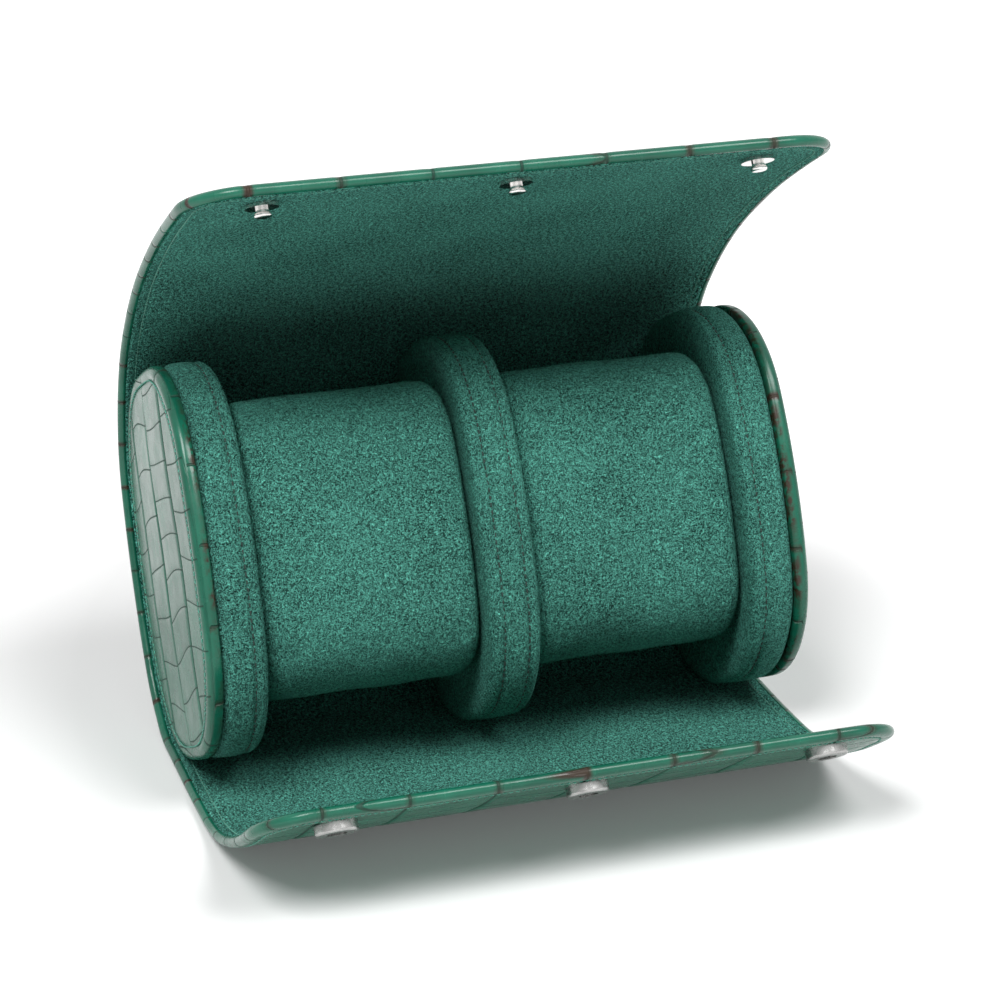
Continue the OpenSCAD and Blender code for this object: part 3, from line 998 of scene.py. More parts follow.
@dataclass
class Wrap:
    """The one sheet that goes from the front flap's free edge under and behind the
    oval to the lid's free edge: leather outside, suede inside, a turned rim.

    A profile lists pairs of inset from the edge and distance from the lining's face.
    """

    finishes: Finishes
    half: float = 78.0
    corner_r: float = 15.0
    inset: float = 8.0
    front_length: float = 90.0
    front_turns: tuple[float, ...] = (3.0, 22.0, 10.0, 3.0)
    lid_length: float = 137.0
    lid_turns: tuple[float, ...] = (32.0, 14.5, 7.5, 3.0)
    back: tuple[Pair, ...] = (
        (18.609, 0.0), (7.330, 30.0), (4.609, 0.0),
        (12.399, 22.769), (44.55, 19.463), (12.672, 23.269),
    )
    base_front: Pair = (-16.872, 2.7)
    blend_back: float = 3.0
    blend_on: float = 12.0
    skin_step: float = 0.85
    suede_step: float = 0.95
    corner_rows: int = 16
    emboss: Embossing = Embossing(seed=3.0)
    emboss_shift: float = 3.0
    scales_over: Pair = (3.6, 1.2)
    rim_over: Pair = (-2.9, 0.5)
    rim_marks: float = 0.6
    rim_relief: float = 0.35
    waves: float = 0.07
    wave_long: float = 34.0
    slack_over: Pair = (5.0, 3.0)
    fray: float = 0.16
    fray_at: Pair = (2.2, 0.5)
    fray_grain: int = 3
    thread: Thread = Thread(pitch=1.5, length=1.2, radius=0.17)
    outer_row: Pair = (3.6, 2.5)
    inner_row: Pair = (4.1, 0.16)
    outer_profile: tuple[Pair, ...] = (
        (8.0, 2.7), (7.2, 2.7), (6.4, 2.7), (5.6, 2.7), (4.9, 2.7), (4.3, 2.66), (3.9, 2.56),
        (3.6, 2.45), (3.3, 2.5), (2.9, 2.62), (2.4, 2.68), (1.8, 2.66), (1.2, 2.54), (0.7, 2.3),
        (0.3, 1.94), (0.06, 1.46), (0.04, 1.0), (0.2, 0.54), (0.55, 0.16), (1.0, -0.06),
        (1.4, -0.1), (1.75, 0.04), (1.95, 0.3), (2.05, 0.6), (2.2, 0.85), (8.0, 0.85),
    )
    inner_profile: tuple[Pair, ...] = (
        (8.0, 0.06), (7.0, 0.06), (6.2, 0.06), (5.4, 0.07), (4.8, 0.12), (4.4, 0.22), (4.1, 0.26),
        (3.8, 0.18), (3.4, 0.0), (2.9, -0.12), (2.4, -0.16), (2.05, -0.1), (1.86, 0.06),
        (1.84, 0.34), (1.95, 0.6), (8.0, 0.7),
    )

    def __post_init__(self) -> None:
        """Sets up the wrap's line, its fixed part and its two flaps."""
        fronts = [(self.front_length / 4, t) for t in reversed(self.front_turns)]
        lids = [(self.lid_length / 4, t) for t in self.lid_turns]
        heading = -math.radians(sum(self.front_turns))
        steps = [*fronts, *self.back, *lids]
        self.track = Track(steps, heading, self.base_front, self.front_length)
        self.back_end = self.front_length + sum(a for a, _ in self.back)
        self.fixed = Flap("back", 0.0, 1, math.inf)
        self.front = Flap("front", self.front_length, -1, self.front_length)
        self.lid = Flap("lid", self.back_end, 1, self.lid_length)

    def place(self, s: Array, x: Array, off: Array) -> Array:
        """Points on the wrap.

        The line's point at s, moved off along the outward normal, with x across.

        Args:
            s: Distance along the wrap's line from the front flap's free edge.
            x: Distance along the roll.
            off: Distance from the lining's face towards the leather.

        Returns:
            n x 3 positions in millimetres.
        """
        at, heading = self.track.at(s)
        out = np.column_stack([np.sin(heading), -np.cos(heading)])
        return np.column_stack([x, at + out * off[:, None]])

    def rows(self, flap: Flap, low: float, high: float, step: float) -> tuple[Array, Array]:
        """Flat coordinates of a span's inner field, inset from the rim.

        Straight rows reach from side to side. At a free end more rows follow the
        two rounded corners: each is as wide as the corner circle leaves.

        Args:
            flap: The flap.
            low: The span's start as a distance from the flap's start.
            high: The span's end.
            step: Spacing of the rows and columns.

        Returns:
            Distances t from the flap's start and x, each rows x columns.
        """
        wide = self.half - self.inset
        cols = round(2 * wide / step) + 1
        free = flap.is_tip(high)
        last = high - self.corner_r if free else high
        t = np.linspace(low, last, max(2, round((last - low) / step) + 1))
        w = np.full(len(t), wide)
        if free:
            r = self.corner_r - self.inset
            a = np.linspace(0, HALF_PI, self.corner_rows + 1)[1:]
            t = np.concatenate([t, last + r * np.sin(a)])
            w = np.concatenate([w, self.half - self.corner_r + r * np.cos(a)])
        return np.repeat(t[:, None], cols, 1), w[:, None] * np.linspace(-1, 1, cols)[None]

    def rim_lines(self, t: Array, x: Array, free: bool) -> list[tuple[Array, Array, Array]]:
        """The lines along a field's rim, with the outward direction in the flat.

        The direction is straight sideways, or away from a corner's centre past it.

        Args:
            t: Field distances, rows x columns.
            x: Field x, rows x columns.
            free: Whether the last row is a free edge.

        Returns:
            For each line: vertex numbers in the field, points n x 2 and normals n x 2.
        """
        index = np.arange(t.size).reshape(t.shape)
        spots = np.stack([t, x], -1).reshape(-1, 2)
        centre_t = t[-1, 0] - (self.corner_r - self.inset) if free else np.inf
        centre_x = self.half - self.corner_r

        def outward(i: Array, side: float) -> Array:
            """The outward directions along one side of the field.

            Args:
                i: Vertex numbers.
                side: -1 for the side at -X and 1 for the side at +X.

            Returns:
                n x 2 unit directions in the flat.
            """
            p = spots[i]
            n = np.zeros_like(p)
            n[:, 1] = side
            past = p[:, 0] > centre_t + 1e-9
            away = p[past] - np.array([centre_t, side * centre_x])
            n[past] = away / np.linalg.norm(away, axis=1, keepdims=True)
            return n

        left, right = index[:, 0], index[:, -1]
        if not free:
            return [(i, spots[i], outward(i, s)) for i, s in ((left, -1.0), (right, 1.0))]
        tip = index[-1, 1:-1]
        line = np.concatenate([left, tip, right[::-1]])
        ahead = np.tile([1.0, 0.0], (len(tip), 1))
        normal = np.concatenate([outward(left, -1.0), ahead, outward(right, 1.0)[::-1]])
        return [(line, spots[line], normal)]

    def sheet(
        self,
        name: str,
        flap: Flap,
        low: float,
        high: float,
        profile: Sequence[Pair],
        step: float,
        shape: Callable[[Array, Array, Array, Array], tuple[Array, Values]],
    ) -> Piece:
        """One span of the wrap as a closed sheet.

        Two fields, one at each end of the profile, are joined along the rim by rings.
        A ring is the rim line moved outwards to the profile's inset, at the profile's
        distance from the lining.

        Args:
            name: The piece's name.
            flap: The flap.
            low: The span's start.
            high: The span's end.
            profile: Insets and distances from one field round the edge to the other.
            step: Spacing of the vertices.
            shape: Gives the extra distance and the named values at s, x, the inset
                and whether the points are on the first field's side.

        Returns:
            The new object.
        """
        t, x = self.rows(flap, low, high, step)
        size = t.size
        inset, level = np.array(profile).T
        index = np.arange(size).reshape(t.shape)
        flat = [np.column_stack([t.ravel(), x.ravel()])] * 2
        depth = [np.full(size, inset[0]), np.full(size, inset[-1])]
        off = [np.full(size, level[0]), np.full(size, level[-1])]
        first = [np.ones(size, bool), np.zeros(size, bool)]
        faces = [grid_faces(index), grid_faces(index)[:, ::-1] + size]
        between = inset[1:-1], level[1:-1]
        on_first = (between[1] > level.mean()) == (level[0] > level[-1])
        base = 2 * size
        for line, spots, normal in self.rim_lines(t, x, flap.is_tip(high)):
            rings = spots[None] + (inset[0] - between[0])[:, None, None] * normal[None]
            flat.append(rings.reshape(-1, 2))
            depth.append(np.repeat(between[0], len(line)))
            off.append(np.repeat(between[1], len(line)))
            first.append(np.repeat(on_first, len(line)))
            numbers = base + np.arange(len(on_first) * len(line)).reshape(len(on_first), -1)
            faces.append(grid_faces(np.vstack([line, numbers, line + size])))
            base += numbers.size
        t, x = np.vstack(flat).T
        s = flap.on_line(t)
        extra, values = shape(s, x, np.concatenate(depth), np.concatenate(first))
        points = self.place(s, x, np.concatenate(off) + extra)
        return make_mesh(name, points, faces, np.column_stack([s, x]), values)

    def leather_shape(self, s: Array, x: Array, inset: Array, outer: Array) -> tuple[Array, Values]:
        """Scales on the outside, shallower on the rim, which is worn at its creases.

        Args:
            s: Distance along the wrap's line.
            x: Distance along the roll.
            inset: Distance from the edge.
            outer: Whether the points are outside.

        Returns:
            The extra distance, and the values that the finish reads.
        """
        valley, column, along = self.emboss.press(x + self.emboss_shift, s)
        fade = rise(inset, self.scales_over) * outer
        rim = rise(-inset, self.rim_over)
        values = {
            "valley": valley / self.emboss.deep * (fade + self.rim_marks * rim),
            "column": column,
            "along": along,
            "worn": rim,
        }
        return -valley * (fade + self.rim_relief * rim * outer), values

    def suede_shape(self, s: Array, x: Array, inset: Array, inner: Array) -> tuple[Array, Values]:
        """Faint waves where the seam doesn't pull the suede tight, and a frayed edge.

        Args:
            s: Distance along the wrap's line.
            x: Distance along the roll.
            inset: Distance from the edge.
            inner: Whether the points are inside.

        Returns:
            The extra distance, and no values.
        """
        p = np.column_stack([s, x, 0 * s])
        slack = rise(inset, self.slack_over) * inner
        edge, wide = self.fray_at
        threads = scatter(np.round(s * self.fray_grain), np.round(x * self.fray_grain)) - 0.5
        frayed = bell(inset - edge, wide) * threads
        return self.waves * ripple(p, self.wave_long, 1.0) * slack + self.fray * frayed, {}

    def seam(self, name: str, flap: Flap, low: float, high: float) -> Piece:
        """The two sewn rows of a span: on the leather and on the suede.

        Stitches are spaced evenly along the flat line at a fixed inset, round the
        free corners too. Their direction is the way to a point a little further on.

        Args:
            name: The piece's name.
            flap: The flap.
            low: The span's start.
            high: The span's end.

        Returns:
            The new object.
        """
        points, faces, base = [], [], 0
        reach = 0.05
        for (inset, level), outwards in ((self.outer_row, 1.0), (self.inner_row, -1.0)):
            for spots, ahead in self.seam_lines(flap, low, high, inset):
                s, x = flap.on_line(spots[:, 0]), spots[:, 1]
                off = np.full(len(s), level)
                here = self.place(s, x, off)
                there = self.place(s + reach * flap.way * ahead[:, 0], x + reach * ahead[:, 1], off)
                along = there - here
                along /= np.linalg.norm(along, axis=1, keepdims=True)
                _, heading = self.track.at(s)
                out = np.column_stack([0 * s, np.sin(heading), -np.cos(heading)]) * outwards
                v, f = self.thread.stitches(here, along, out)
                points.append(v)
                faces.append(f + base)
                base += len(v)
        return make_mesh(name, np.vstack(points), faces)

    def seam_lines(
        self, flap: Flap, low: float, high: float, inset: float
    ) -> list[tuple[Array, Array]]:
        """Flat middles and directions of a span's stitches.

        On a free end the row runs up one side, round a corner, across, and back. Its
        second half mirrors the first.

        Args:
            flap: The flap.
            low: The span's start.
            high: The span's end.
            inset: The row's distance from the edge.

        Returns:
            For each line: middles n x 2 and unit directions n x 2.
        """
        pitch = self.thread.pitch
        wide = self.half - inset
        r = self.corner_r - inset
        first = math.ceil(low / pitch - 1e-9) * pitch
        if not flap.is_tip(high):
            t = np.arange(first, high - TINY, pitch)
            ahead = np.tile([1.0, 0.0], (len(t), 1))
            return [(np.column_stack([t, np.full(len(t), w)]), ahead) for w in (-wide, wide)]
        straight = high - self.corner_r - first
        corner, tip = r * HALF_PI, 2 * (self.half - self.corner_r)
        total = 2 * straight + 2 * corner + tip
        d = np.linspace(0, total, round(total / pitch) + 1)
        mirror = d > total / 2
        e = np.where(mirror, total - d, d)
        a = np.clip((e - straight) / r, 0, HALF_PI)
        t = first + np.minimum(e, straight) + r * np.sin(a)
        across = np.maximum(e - straight - corner, 0)
        x = -(self.half - self.corner_r) - r * np.cos(a) + across
        ahead = np.column_stack([np.cos(a), np.sin(a)])
        ahead[mirror, 0] *= -1
        return [(np.column_stack([t, np.where(mirror, -x, x)]), ahead)]

    def bend(self, piece: Piece, flap: Flap, k: int) -> None:
        """Bakes a piece's place into its mesh, and reports the joint between a flap's bodies k and
        k + 1 that it lies over.

        Args:
            piece: The piece.
            flap: Its flap.
            k: Number of the joint, from 0 at the fixed part.
        """
        joint = flap.length / flap.panels * k
        back = 0.0 if k == 0 else self.blend_back
        s = flap.on_line(np.array([joint - back, joint + self.blend_on]))
        start, end = self.place(s, np.zeros(2), np.zeros(2)) * MM
        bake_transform(piece)
        log.info("%s bends at joint %d of the %s flap", piece.name, k, flap.name)

    def span(self, flap: Flap, low: float, high: float, end: str = "") -> tuple[Piece, ...]:
        """Makes and dresses a span's leather, suede and thread.

        Args:
            flap: The flap.
            low: The span's start.
            high: The span's end.
            end: The end of the pieces' and nodes' names.

        Returns:
            The three pieces.
        """
        f, name = self.finishes, flap.name
        skin = self.sheet(
            f"{name}_skin{end}", flap, low, high, self.outer_profile, self.skin_step,
            self.leather_shape,
        )
        suede = self.sheet(
            f"{name}_suede{end}", flap, low, high, self.inner_profile, self.suede_step,
            self.suede_shape,
        )
        thread = self.seam(f"{name}_thread{end}", flap, low, high)
        dress(skin, f.skin, "embossed_leather", f"{name}_leather{end}", f"{name}_board{end}")
        dress(suede, f.lining, "suede_lining", f"{name}_lining{end}")
        dress(thread, f.green_thread, "embossed_leather")
        return skin, suede, thread

    def build(self) -> None:
        """Makes the fixed back and both flaps."""
        for piece in self.span(self.fixed, self.front_length, self.back_end):
            settle(piece)
        for flap in (self.lid, self.front):
            for k, (low, high) in enumerate(flap.spans()):
                for piece in self.span(flap, low, high, f"_{k + 1}"):
                    self.bend(piece, flap, k)


# ---------------------------------------------------------------- padded ovals


@dataclass(frozen=True)
class Spots:
    """A shell's points: x along the roll, u along the oval's long axis, v towards the
    front, the inset from the oval, its outward normal and the distance round it."""

    x: Array
    u: Array
    v: Array
    inset: Array
    normal: Array
    round_at: Array


Relief = tuple[Array, Array, Values]


@dataclass(frozen=True)
class OvalShell:
    """A closed soft form: an oval carried along X, drawn in towards its middle at
    both ends as a profile of insets and places says."""

    oval: Oval
    profile: Sequence[Pair]
    around: int
    shift_v: float = 0.0
    keep: float = 12.0

    def surface(self) -> Spots:
        """The shell's points, one ring for each profile entry.

        Up to keep millimetres of inset a ring is the oval less the inset along its
        normals. Deeper rings are that ring scaled towards the middle.

        Returns:
            The points, ring after ring.
        """
        edge, normal, round_at = self.oval.outline(self.around)
        inset, x = np.array(self.profile).T
        reach = self.oval.width / 2
        near = np.minimum(inset, self.keep)
        scale = 1 - np.clip((inset - self.keep) / (reach - self.keep), 0, 1)
        ring = (edge[None] - near[:, None, None] * normal[None]) * scale[:, None, None]
        u, v = ring.reshape(-1, 2).T
        n, rings = len(edge), len(x)
        around = np.tile(normal, (rings, 1)), np.tile(round_at, rings)
        return Spots(np.repeat(x, n), u, v, np.repeat(inset, n), *around)

    def make(self, name: str, shape: Callable[[Spots], Relief]) -> Piece:
        """Makes the shell, with its two poles closed.

        Args:
            name: The piece's name.
            shape: Gives the extra x, the extra distance along the oval's normal and
                the values that the finish reads.

        Returns:
            The new object.
        """
        at = self.surface()
        dx, dn, values = shape(at)
        u, v = at.u + dn * at.normal[:, 0], at.v + dn * at.normal[:, 1]
        points = SECTION.place(at.x + dx, u, v + self.shift_v)
        numbers = np.arange(len(points)).reshape(len(self.profile), -1)
        return make_mesh(name, points, [grid_faces(numbers, wrap=True)], values=values)


def arc_profile(x: float, r: float, way: int, count: int) -> list[Pair]:
    """A rounded edge from the side onto a face.

    Points of a quarter circle of radius r that starts on the side, r before the
    face at x, and ends on the face, r in from the side.

    Args:
        x: Position of the face.
        r: Radius.
        way: 1 where the face looks along +X and -1 along -X.
        count: Number of points.

    Returns:
        Pairs of inset and x.
    """
    a = np.linspace(0, HALF_PI, count)
    return [(r * (1 - math.cos(t)), x - way * r * (1 - math.sin(t))) for t in a]


def pad_profile(
    low: float, high: float, edge_r: float, faces: Sequence[float], across: int, round_off: int
) -> list[Pair]:
    """The profile of a pad: a face, a rounded edge, the side, an edge and a face.

    Args:
        low: Position of the face at -X.
        high: Position of the face at +X.
        edge_r: Radius of the edges.
        faces: Insets of a face's rings, from its middle outwards.
        across: Number of rings on the side, its two ends among them.
        round_off: Number of rings on an edge.

    Returns:
        Pairs of inset and x.
    """
    side = np.linspace(low + edge_r, high - edge_r, across)[1:-1]
    profile = [(d, low) for d in faces] + arc_profile(low, edge_r, -1, round_off)[::-1]
    profile += [(0.0, x) for x in side]
    return profile + arc_profile(high, edge_r, 1, round_off) + [(d, high) for d in faces[::-1]]


def seam_round(name: str, inset: float, x: float, out: Pair, thread: Thread) -> Piece:
    """A sewn row round the case's oval, its stitches spaced evenly.

    Args:
        name: The piece's name.
        inset: The row's inset from the oval.
        x: The row's position along the roll.
        out: The surface's normal as shares of +X and of the oval's outward normal.
        thread: The stitches.

    Returns:
        The new object.
    """
    count = round(CASE_OVAL.perimeter() / thread.pitch)
    edge, normal, _ = CASE_OVAL.outline(count)
    spot = edge - inset * normal
    none = np.zeros(count)
    at = SECTION.place(np.full(count, x), spot[:, 0], spot[:, 1])
    origin = SECTION.place(none, none, none)
    sideways = SECTION.place(none, normal[:, 0], normal[:, 1]) - origin
    along = SECTION.place(none, -normal[:, 1], normal[:, 0]) - origin
    face = sideways * out[1] + np.array([out[0], 0, 0])
    face /= np.linalg.norm(face, axis=1, keepdims=True)
    v, f = thread.stitches(at, along, face)
    return make_mesh(name, v, [f])


@dataclass
class EndDisc:
    """A leather end disc: pressed scales inside a sewn rim with a rounded bead."""

    side: Side
    finishes: Finishes
    outer_x: float = 76.0
    thick: float = 3.8
    edge_r: float = 1.9
    sewn: float = 3.4
    face_deep: float = 1.0
    scales_over: Pair = (3.9, 1.0)
    crown: float = 0.7
    crown_wide: float = 30.0
    groove: float = 0.35
    groove_wide: float = 0.7
    arch: float = 0.0009
    turned_over: Pair = (0.9, 0.6)
    crease_share: float = 0.6
    frayed_over: Pair = (1.9, 0.9)
    frayed_least: float = 0.35
    patch_long: float = 30.0
    patch_over: Pair = (-0.35, 0.5)
    bead: float = 3.6
    bead_rings: tuple[float, ...] = (5.1, 4.7, 4.3, 4.0, 3.7, 3.4, 3.1, 2.8, 2.4)
    back_rings: tuple[Pair, ...] = ((0.0, 0.9), (0.25, 0.3), (0.9, 0.0))
    face_rings: int = 40
    edge_rings: int = 8
    around: int = 330
    thread: Thread = Thread(pitch=1.8, length=1.45, radius=0.19)
    thread_deep: float = 0.2

    def shape(self, at: Spots) -> Relief:
        """The disc's relief: a low crown, scales, a sewn groove and the bead.

        Crown, scales and groove fade out where the side begins, and there the creases
        run across the edge, worn brown, with frayed patches nearer the back.

        Args:
            at: The disc's points.

        Returns:
            The extra x, no distance along the normal, and the finish's values.
        """
        way = self.side.value
        depth = self.outer_x - np.abs(at.x)
        outer = depth < self.face_deep
        press = Embossing(seed=11.0 + way)
        arched = at.v + self.arch * at.u * at.u * np.sign(at.v + 0.01)
        valley, column, along = press.press(arched, at.u)
        fade = rise(at.inset, self.scales_over) * outer
        crown = self.crown * smooth(at.inset / self.crown_wide) * outer
        groove = self.groove * bell(at.inset - self.sewn, self.groove_wide) * outer
        dx = way * (crown - groove - valley * fade)
        edge = rise(depth, self.turned_over)
        patches = ripple(np.column_stack([0 * at.u, at.u, at.v]), self.patch_long, 7.0 + way)
        patches = rise(patches, self.patch_over)
        start, wide = self.frayed_over
        frayed = smooth((self.outer_x - start - np.abs(at.x)) / wide)
        values = {
            "valley": valley / press.deep * fade,
            "column": column,
            "along": along * (1 - edge) + self.crease_share * at.round_at * edge,
            "worn": edge,
            "frayed": frayed * (self.frayed_least + (1 - self.frayed_least) * patches),
        }
        return dx, 0 * dx, values

    def build(self) -> None:
        """Makes the disc and its sewn row."""
        way, name = self.side.value, self.side.name.lower()
        out, back = way * self.outer_x, way * (self.outer_x - self.thick)
        reach = CASE_OVAL.width / 2
        face = [*np.linspace(reach, self.edge_r + self.bead, self.face_rings), *self.bead_rings]
        profile = [(d, out) for d in face]
        profile += arc_profile(out, self.edge_r, way, self.edge_rings)[::-1]
        profile += [(d, back + way * up) for d, up in self.back_rings] + [(reach, back)]
        disc = OvalShell(CASE_OVAL, profile, self.around).make(f"{name}_disc", self.shape)
        nodes = (f"{name}_end_leather", f"{name}_end_board")
        settle(dress(disc, self.finishes.disc, "embossed_leather", *nodes))
        x = out - way * self.thread_deep
        row = seam_round(f"{name}_disc_thread", self.sewn, x, (way, 0.0), self.thread)
        settle(dress(row, self.finishes.green_thread, "embossed_leather"))


@dataclass
class Pad:
    """A suede-covered foam pad in the roll's oval, with a sewn seam round its edge
    beside each face that shows."""

    name: str
    low_x: float
    high_x: float
    seams: tuple[float, ...]
    nodes: tuple[str, ...]
    finishes: Finishes
    edge_r: float = 3.0
    side_reach: float = 2.2
    seam_deep: float = 0.75
    seam_wide: float = 0.62
    swell: float = 0.22
    swell_share: float = 0.45
    pucker: float = 0.10
    pucker_pitch: float = 3.1
    fill: float = 0.9
    uneven: float = 0.10
    uneven_long: float = 21.0
    dimples: float = 0.07
    dimple_long: float = 17.0
    flat: float = 1.2
    face_rings: int = 18
    side_rings: int = 40
    edge_rings: int = 7
    around: int = 280
    thread: Thread = Thread(pitch=1.8, length=1.4, radius=0.2)
    thread_proud: float = 0.12

    def shape(self, at: Spots) -> Relief:
        """Seams pull the cover in and pucker it; between them it stands slightly proud.

        The pull is a narrow bell across each seam and the swell a broad one across the
        side, with slow ripples over both. The faces only ripple.

        Args:
            at: The pad's points.

        Returns:
            The extra x, the extra distance along the normal, and no values.
        """
        p = np.column_stack([at.x, at.u, at.v])
        side = bell(at.inset, self.side_reach)
        pull = sum(bell(at.x - s, self.seam_wide) for s in self.seams)
        middle = (self.low_x + self.high_x) / 2
        swell = self.swell * bell(at.x - middle, self.swell_share * (self.high_x - self.low_x))
        uneven = self.uneven * ripple(p, self.uneven_long, 2.0)
        dn = (-self.seam_deep * pull + swell + uneven) * side
        turns = at.round_at * 2 * math.pi / self.pucker_pitch
        dn -= self.pucker * pull * side * np.sin(turns)
        return self.dimples * ripple(p, self.dimple_long, 4.0) * (1 - side), dn, {}

    def build(self) -> None:
        """Makes the pad and the thread in its seams, whose near-black colour is painted shade of
        the seam's groove.
        """
        faces = np.linspace(CASE_OVAL.width / 2, self.edge_r + self.flat, self.face_rings)
        rings = self.side_rings, self.edge_rings
        profile = pad_profile(self.low_x, self.high_x, self.edge_r, faces, *rings)
        pad = OvalShell(CASE_OVAL, profile, self.around).make(self.name, self.shape)
        settle(dress(pad, self.finishes.pad, "suede_pad", *self.nodes))
        for k, x in enumerate(self.seams):
            name = f"{self.name}_thread_{k + 1}"
            inset = self.seam_deep - self.thread_proud
            row = seam_round(name, inset, x, (0.0, 1.0), self.thread)
            # The thread's near-black colour is painted shade of the groove that the seam pulls in.
            settle(dress(row, self.finishes.seam_shade_thread, "suede_pad"))


@dataclass
class Pillow:
    """A foam pillow in a suede sleeve, which a watch is buckled round."""

    side: Side
    finishes: Finishes
    middle_x: float = 33.75
    wide: float = 53.9
    edge_r: float = 4.6
    behind: float = 4.4
    side_reach: float = 3.5
    slack: float = 0.22
    slack_long: float = 27.0
    pucker: float = 0.10
    pucker_pitch: float = 9.3
    pucker_sway: Pair = (1.7, 11.0)
    gather_over: Pair = (0.55, 0.4)
    fill: float = 0.85
    drawn_in: float = 0.25
    taper: float = 0.35
    sunk_wide: float = 12.0
    flat: float = 1.0
    face_rings: int = 12
    side_rings: int = 60
    edge_rings: int = 9
    around: int = 220

    def shape(self, at: Spots) -> Relief:
        """Slack waves in the sleeve, deepest near its ends, and dimpled end faces.

        The sleeve tapers as the fourth power of the distance from its middle. The end
        faces sink by an S-shaped step towards their own middles.

        Args:
            at: The pillow's points.

        Returns:
            The extra x, the extra distance along the normal, and no values.
        """
        p = np.column_stack([at.x, at.u, at.v])
        way = self.side.value
        local = (at.x - way * self.middle_x) / (self.wide / 2)
        side = bell(at.inset, self.side_reach)
        gather = rise(np.abs(local), self.gather_over)
        sway, slow = self.pucker_sway
        turns = at.round_at * 2 * math.pi / self.pucker_pitch
        pucker = np.sin(turns + sway * np.sin(at.round_at / slow)) * gather
        waves = self.slack * ripple(p, self.slack_long, 6.0 + way) + self.pucker * pucker
        dn = (waves - self.drawn_in) * side
        dn -= self.taper * np.abs(local) ** 4 * side
        sunk = self.drawn_in + self.taper * smooth(at.inset / self.sunk_wide)
        return -np.sign(local) * sunk * (1 - side), dn, {}

    def build(self) -> None:
        """Makes the pillow."""
        name, way = self.side.name.lower(), self.side.value
        low = way * self.middle_x - self.wide / 2
        high = way * self.middle_x + self.wide / 2
        faces = np.linspace(PILLOW_OVAL.width / 2, self.edge_r + self.flat, self.face_rings)
        rings = self.side_rings, self.edge_rings
        profile = pad_profile(low, high, self.edge_r, faces, *rings)
        shift = CASE_OVAL.width / 2 - self.behind - PILLOW_OVAL.width / 2
        shell = OvalShell(PILLOW_OVAL, profile, self.around, shift)
        pillow = shell.make(f"{name}_pillow", self.shape)
        nodes = [f"{name}_pillow_{part}" for part in ("sleeve", "ends", "foam")]
        dress(pillow, self.finishes.pad, "suede_pillow", *nodes)
        settle(pillow, f"{name}_pillow")


@dataclass
class Roll:
    """The oval roll inside the wrap: two end discs, two end pads, the divider between
    the bays and a pillow in each bay."""

    finishes: Finishes
    pad_in: float = 61.0
    pad_out: float = 72.2
    pad_seam: float = 64.4
    divider_half: float = 6.5
    divider_seam: float = 3.1

    def build(self) -> None:
        """Makes each end with its disc, pad and pillow, and then the divider."""
        for side in Side:
            way, name = side.value, side.name.lower()
            EndDisc(side, self.finishes).build()
            low, high = sorted((way * self.pad_in, way * self.pad_out))
            nodes = tuple(f"{name}_pad_{part}" for part in ("face", "band", "foam"))
            Pad(f"{name}_pad", low, high, (way * self.pad_seam,), nodes, self.finishes).build()
            Pillow(side, self.finishes).build()
        parts = ("divider_left_face", "divider_right_face", "divider_band", "divider_foam")
        seams = (-self.divider_seam, self.divider_seam)
        half = self.divider_half
        Pad("divider", -half, half, seams, parts, self.finishes).build()


@dataclass
class Snaps:
    """The press studs, whose solids keep their shapes and get their plating."""

    finishes: Finishes

    def build(self) -> None:
        """Plates the studs, caps, sockets, springs and anchors."""
        plating = {
            "lid_studs": self.finishes.chrome,
            "lid_stud_caps": self.finishes.chrome,
            "front_sockets": self.finishes.satin,
            "front_socket_springs": self.finishes.satin,
            "front_socket_anchors": self.finishes.satin,
        }
        for node, finish in plating.items():
            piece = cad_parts[node]
            piece.data.materials.clear()
            piece.data.materials.append(finish)
            log.info("%s is plated", node)


# ---------------------------------------------------------------- the studio


@dataclass(frozen=True)
class Lamp:
    """A square soft lamp: its place and side in metres, and its power in watts."""

    name: str
    at: Triple
    size: float
    watts: float

    def hang(self, towards: Triple) -> None:
        """Adds the lamp to the scene.

        Args:
            towards: The point that it faces.
        """
        data = bpy.data.lights.new(self.name, "AREA")
        data.shape, data.size, data.energy = "SQUARE", self.size, self.watts
        lamp = bpy.data.objects.new(self.name, data)
        bpy.context.scene.collection.objects.link(lamp)
        lamp.location = self.at
        facing = Vector(towards) - Vector(self.at)
        lamp.rotation_euler = facing.to_track_quat("-Z", "Y").to_euler()


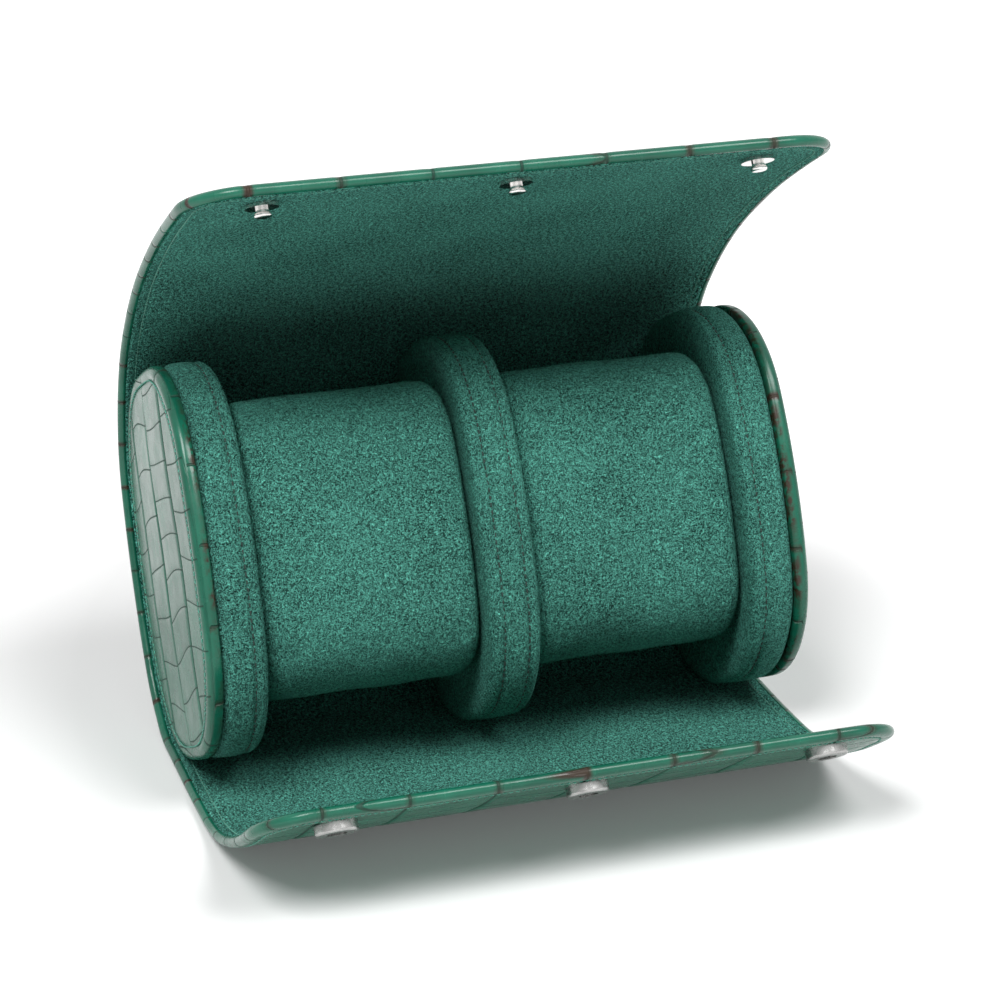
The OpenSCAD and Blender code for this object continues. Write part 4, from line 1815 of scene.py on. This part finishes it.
@dataclass
class Studio:
    """A white floor, plain soft lamps and the camera.

    The floor glows for the camera and in reflections, so that it shows white where
    nothing shades it. The glow grows from the case's foot outwards, in an ellipse.
    """

    eye: Triple = (-206.5, -661.3, 345.8)
    look: Triple = (0.28703, 0.87817, -0.38268)
    lens: float = 108.0
    sensor: float = 36.0
    clip: Pair = (0.01, 50.0)
    aim: Triple = (0.0, -0.02, 0.06)
    lamps: tuple[Lamp, ...] = (
        Lamp("left", (-0.62, -0.62, 1.35), 0.6, 17.0),
        Lamp("right", (0.46, -0.72, 1.33), 0.6, 12.5),
        Lamp("front", (-0.10, -1.70, 0.50), 1.4, 2.4),
    )
    floor_half: float = 3000.0
    floor_z: float = -0.02
    paper: float = 0.90
    ellipse: Triple = (1.2, 0.72, 1.0)
    foot: tuple[Pair, Pair] = ((0.115, 0.22), (0.08, 0.55))
    far: tuple[Pair, Pair] = ((0.4, 1.6), (0.0, 0.45))
    fill: float = 0.16

    def floor(self) -> None:
        """A floor of white paper with its glow."""
        corners = np.array([[-1, -1, 0], [1, -1, 0], [1, 1, 0], [-1, 1, 0]])
        points = corners * self.floor_half + np.array([0, 0, self.floor_z])
        floor = make_mesh("floor", points, [np.array([[0, 1, 2, 3]])], close=False)
        tree = Tree("floor_paper")
        tree.set(Base_Color=(self.paper, self.paper, self.paper, 1.0), Roughness=0.9)
        spot = tree.coords(Coords.SPACE)
        spot.inputs["Scale"].default_value = self.ellipse
        away = tree.add("VectorMath")
        away.operation = "LENGTH"
        tree.join(spot, 0, away, 0)
        near, far = (tree.span(away, "Value", *ramp) for ramp in (self.foot, self.far))
        glow, both, pick = (tree.add(kind) for kind in ("Emission", "AddShader", "MixShader"))
        tree.join(tree.maths("ADD", near, far), 0, glow, "Strength")
        tree.join(tree.shader, 0, both, 0)
        tree.join(glow, 0, both, 1)
        tree.join(tree.seen_by("Is Camera Ray", "Is Glossy Ray"), 0, pick, 0)
        tree.join(tree.shader, 0, pick, 1)
        tree.join(both, 0, pick, 2)
        tree.join(pick, 0, tree.out, "Surface")
        floor.data.materials.append(tree.material)

    def world(self) -> None:
        """White where it is seen, and a dimmer plain fill as a light."""
        world = bpy.data.worlds.new("studio")
        bpy.context.scene.world = world
        world.use_nodes = True
        graph = Graph(world.node_tree)
        fill = graph.add("Background", Color=(1, 1, 1, 1), Strength=self.fill)
        white = graph.add("Background", Color=(1, 1, 1, 1), Strength=1.0)
        mix, out = graph.add("MixShader"), graph.add("OutputWorld")
        seen = graph.seen_by("Is Camera Ray", "Is Transmission Ray", "Is Glossy Ray")
        for socket, node in enumerate((seen, fill, white)):
            graph.join(node, 0, mix, socket)
        graph.join(mix, 0, out, "Surface")

    def camera(self) -> None:
        """Adds the camera and makes it the scene's own."""
        data = bpy.data.cameras.new("camera")
        data.lens, data.sensor_width = self.lens, self.sensor
        data.clip_start, data.clip_end = self.clip
        camera = bpy.data.objects.new("camera", data)
        bpy.context.scene.collection.objects.link(camera)
        camera.location = Vector(self.eye) * MM
        camera.rotation_euler = Vector(self.look).to_track_quat("-Z", "Y").to_euler()
        bpy.context.scene.camera = camera

    def build(self) -> None:
        """Sets up floor, world, lamps, view and camera."""
        bpy.context.scene.view_settings.view_transform = "Standard"
        self.floor()
        self.world()
        for lamp in self.lamps:
            lamp.hang(self.aim)
        self.camera()
        log.info("studio is set")


def main() -> None:
    """Builds the case piece by piece."""
    logging.basicConfig(level=logging.INFO, format="%(message)s")
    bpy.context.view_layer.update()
    finishes = Finishes()
    Studio().build()
    Wrap(finishes).build()
    Roll(finishes).build()
    Snaps(finishes).build()


if __name__ == "__main__":
    main()
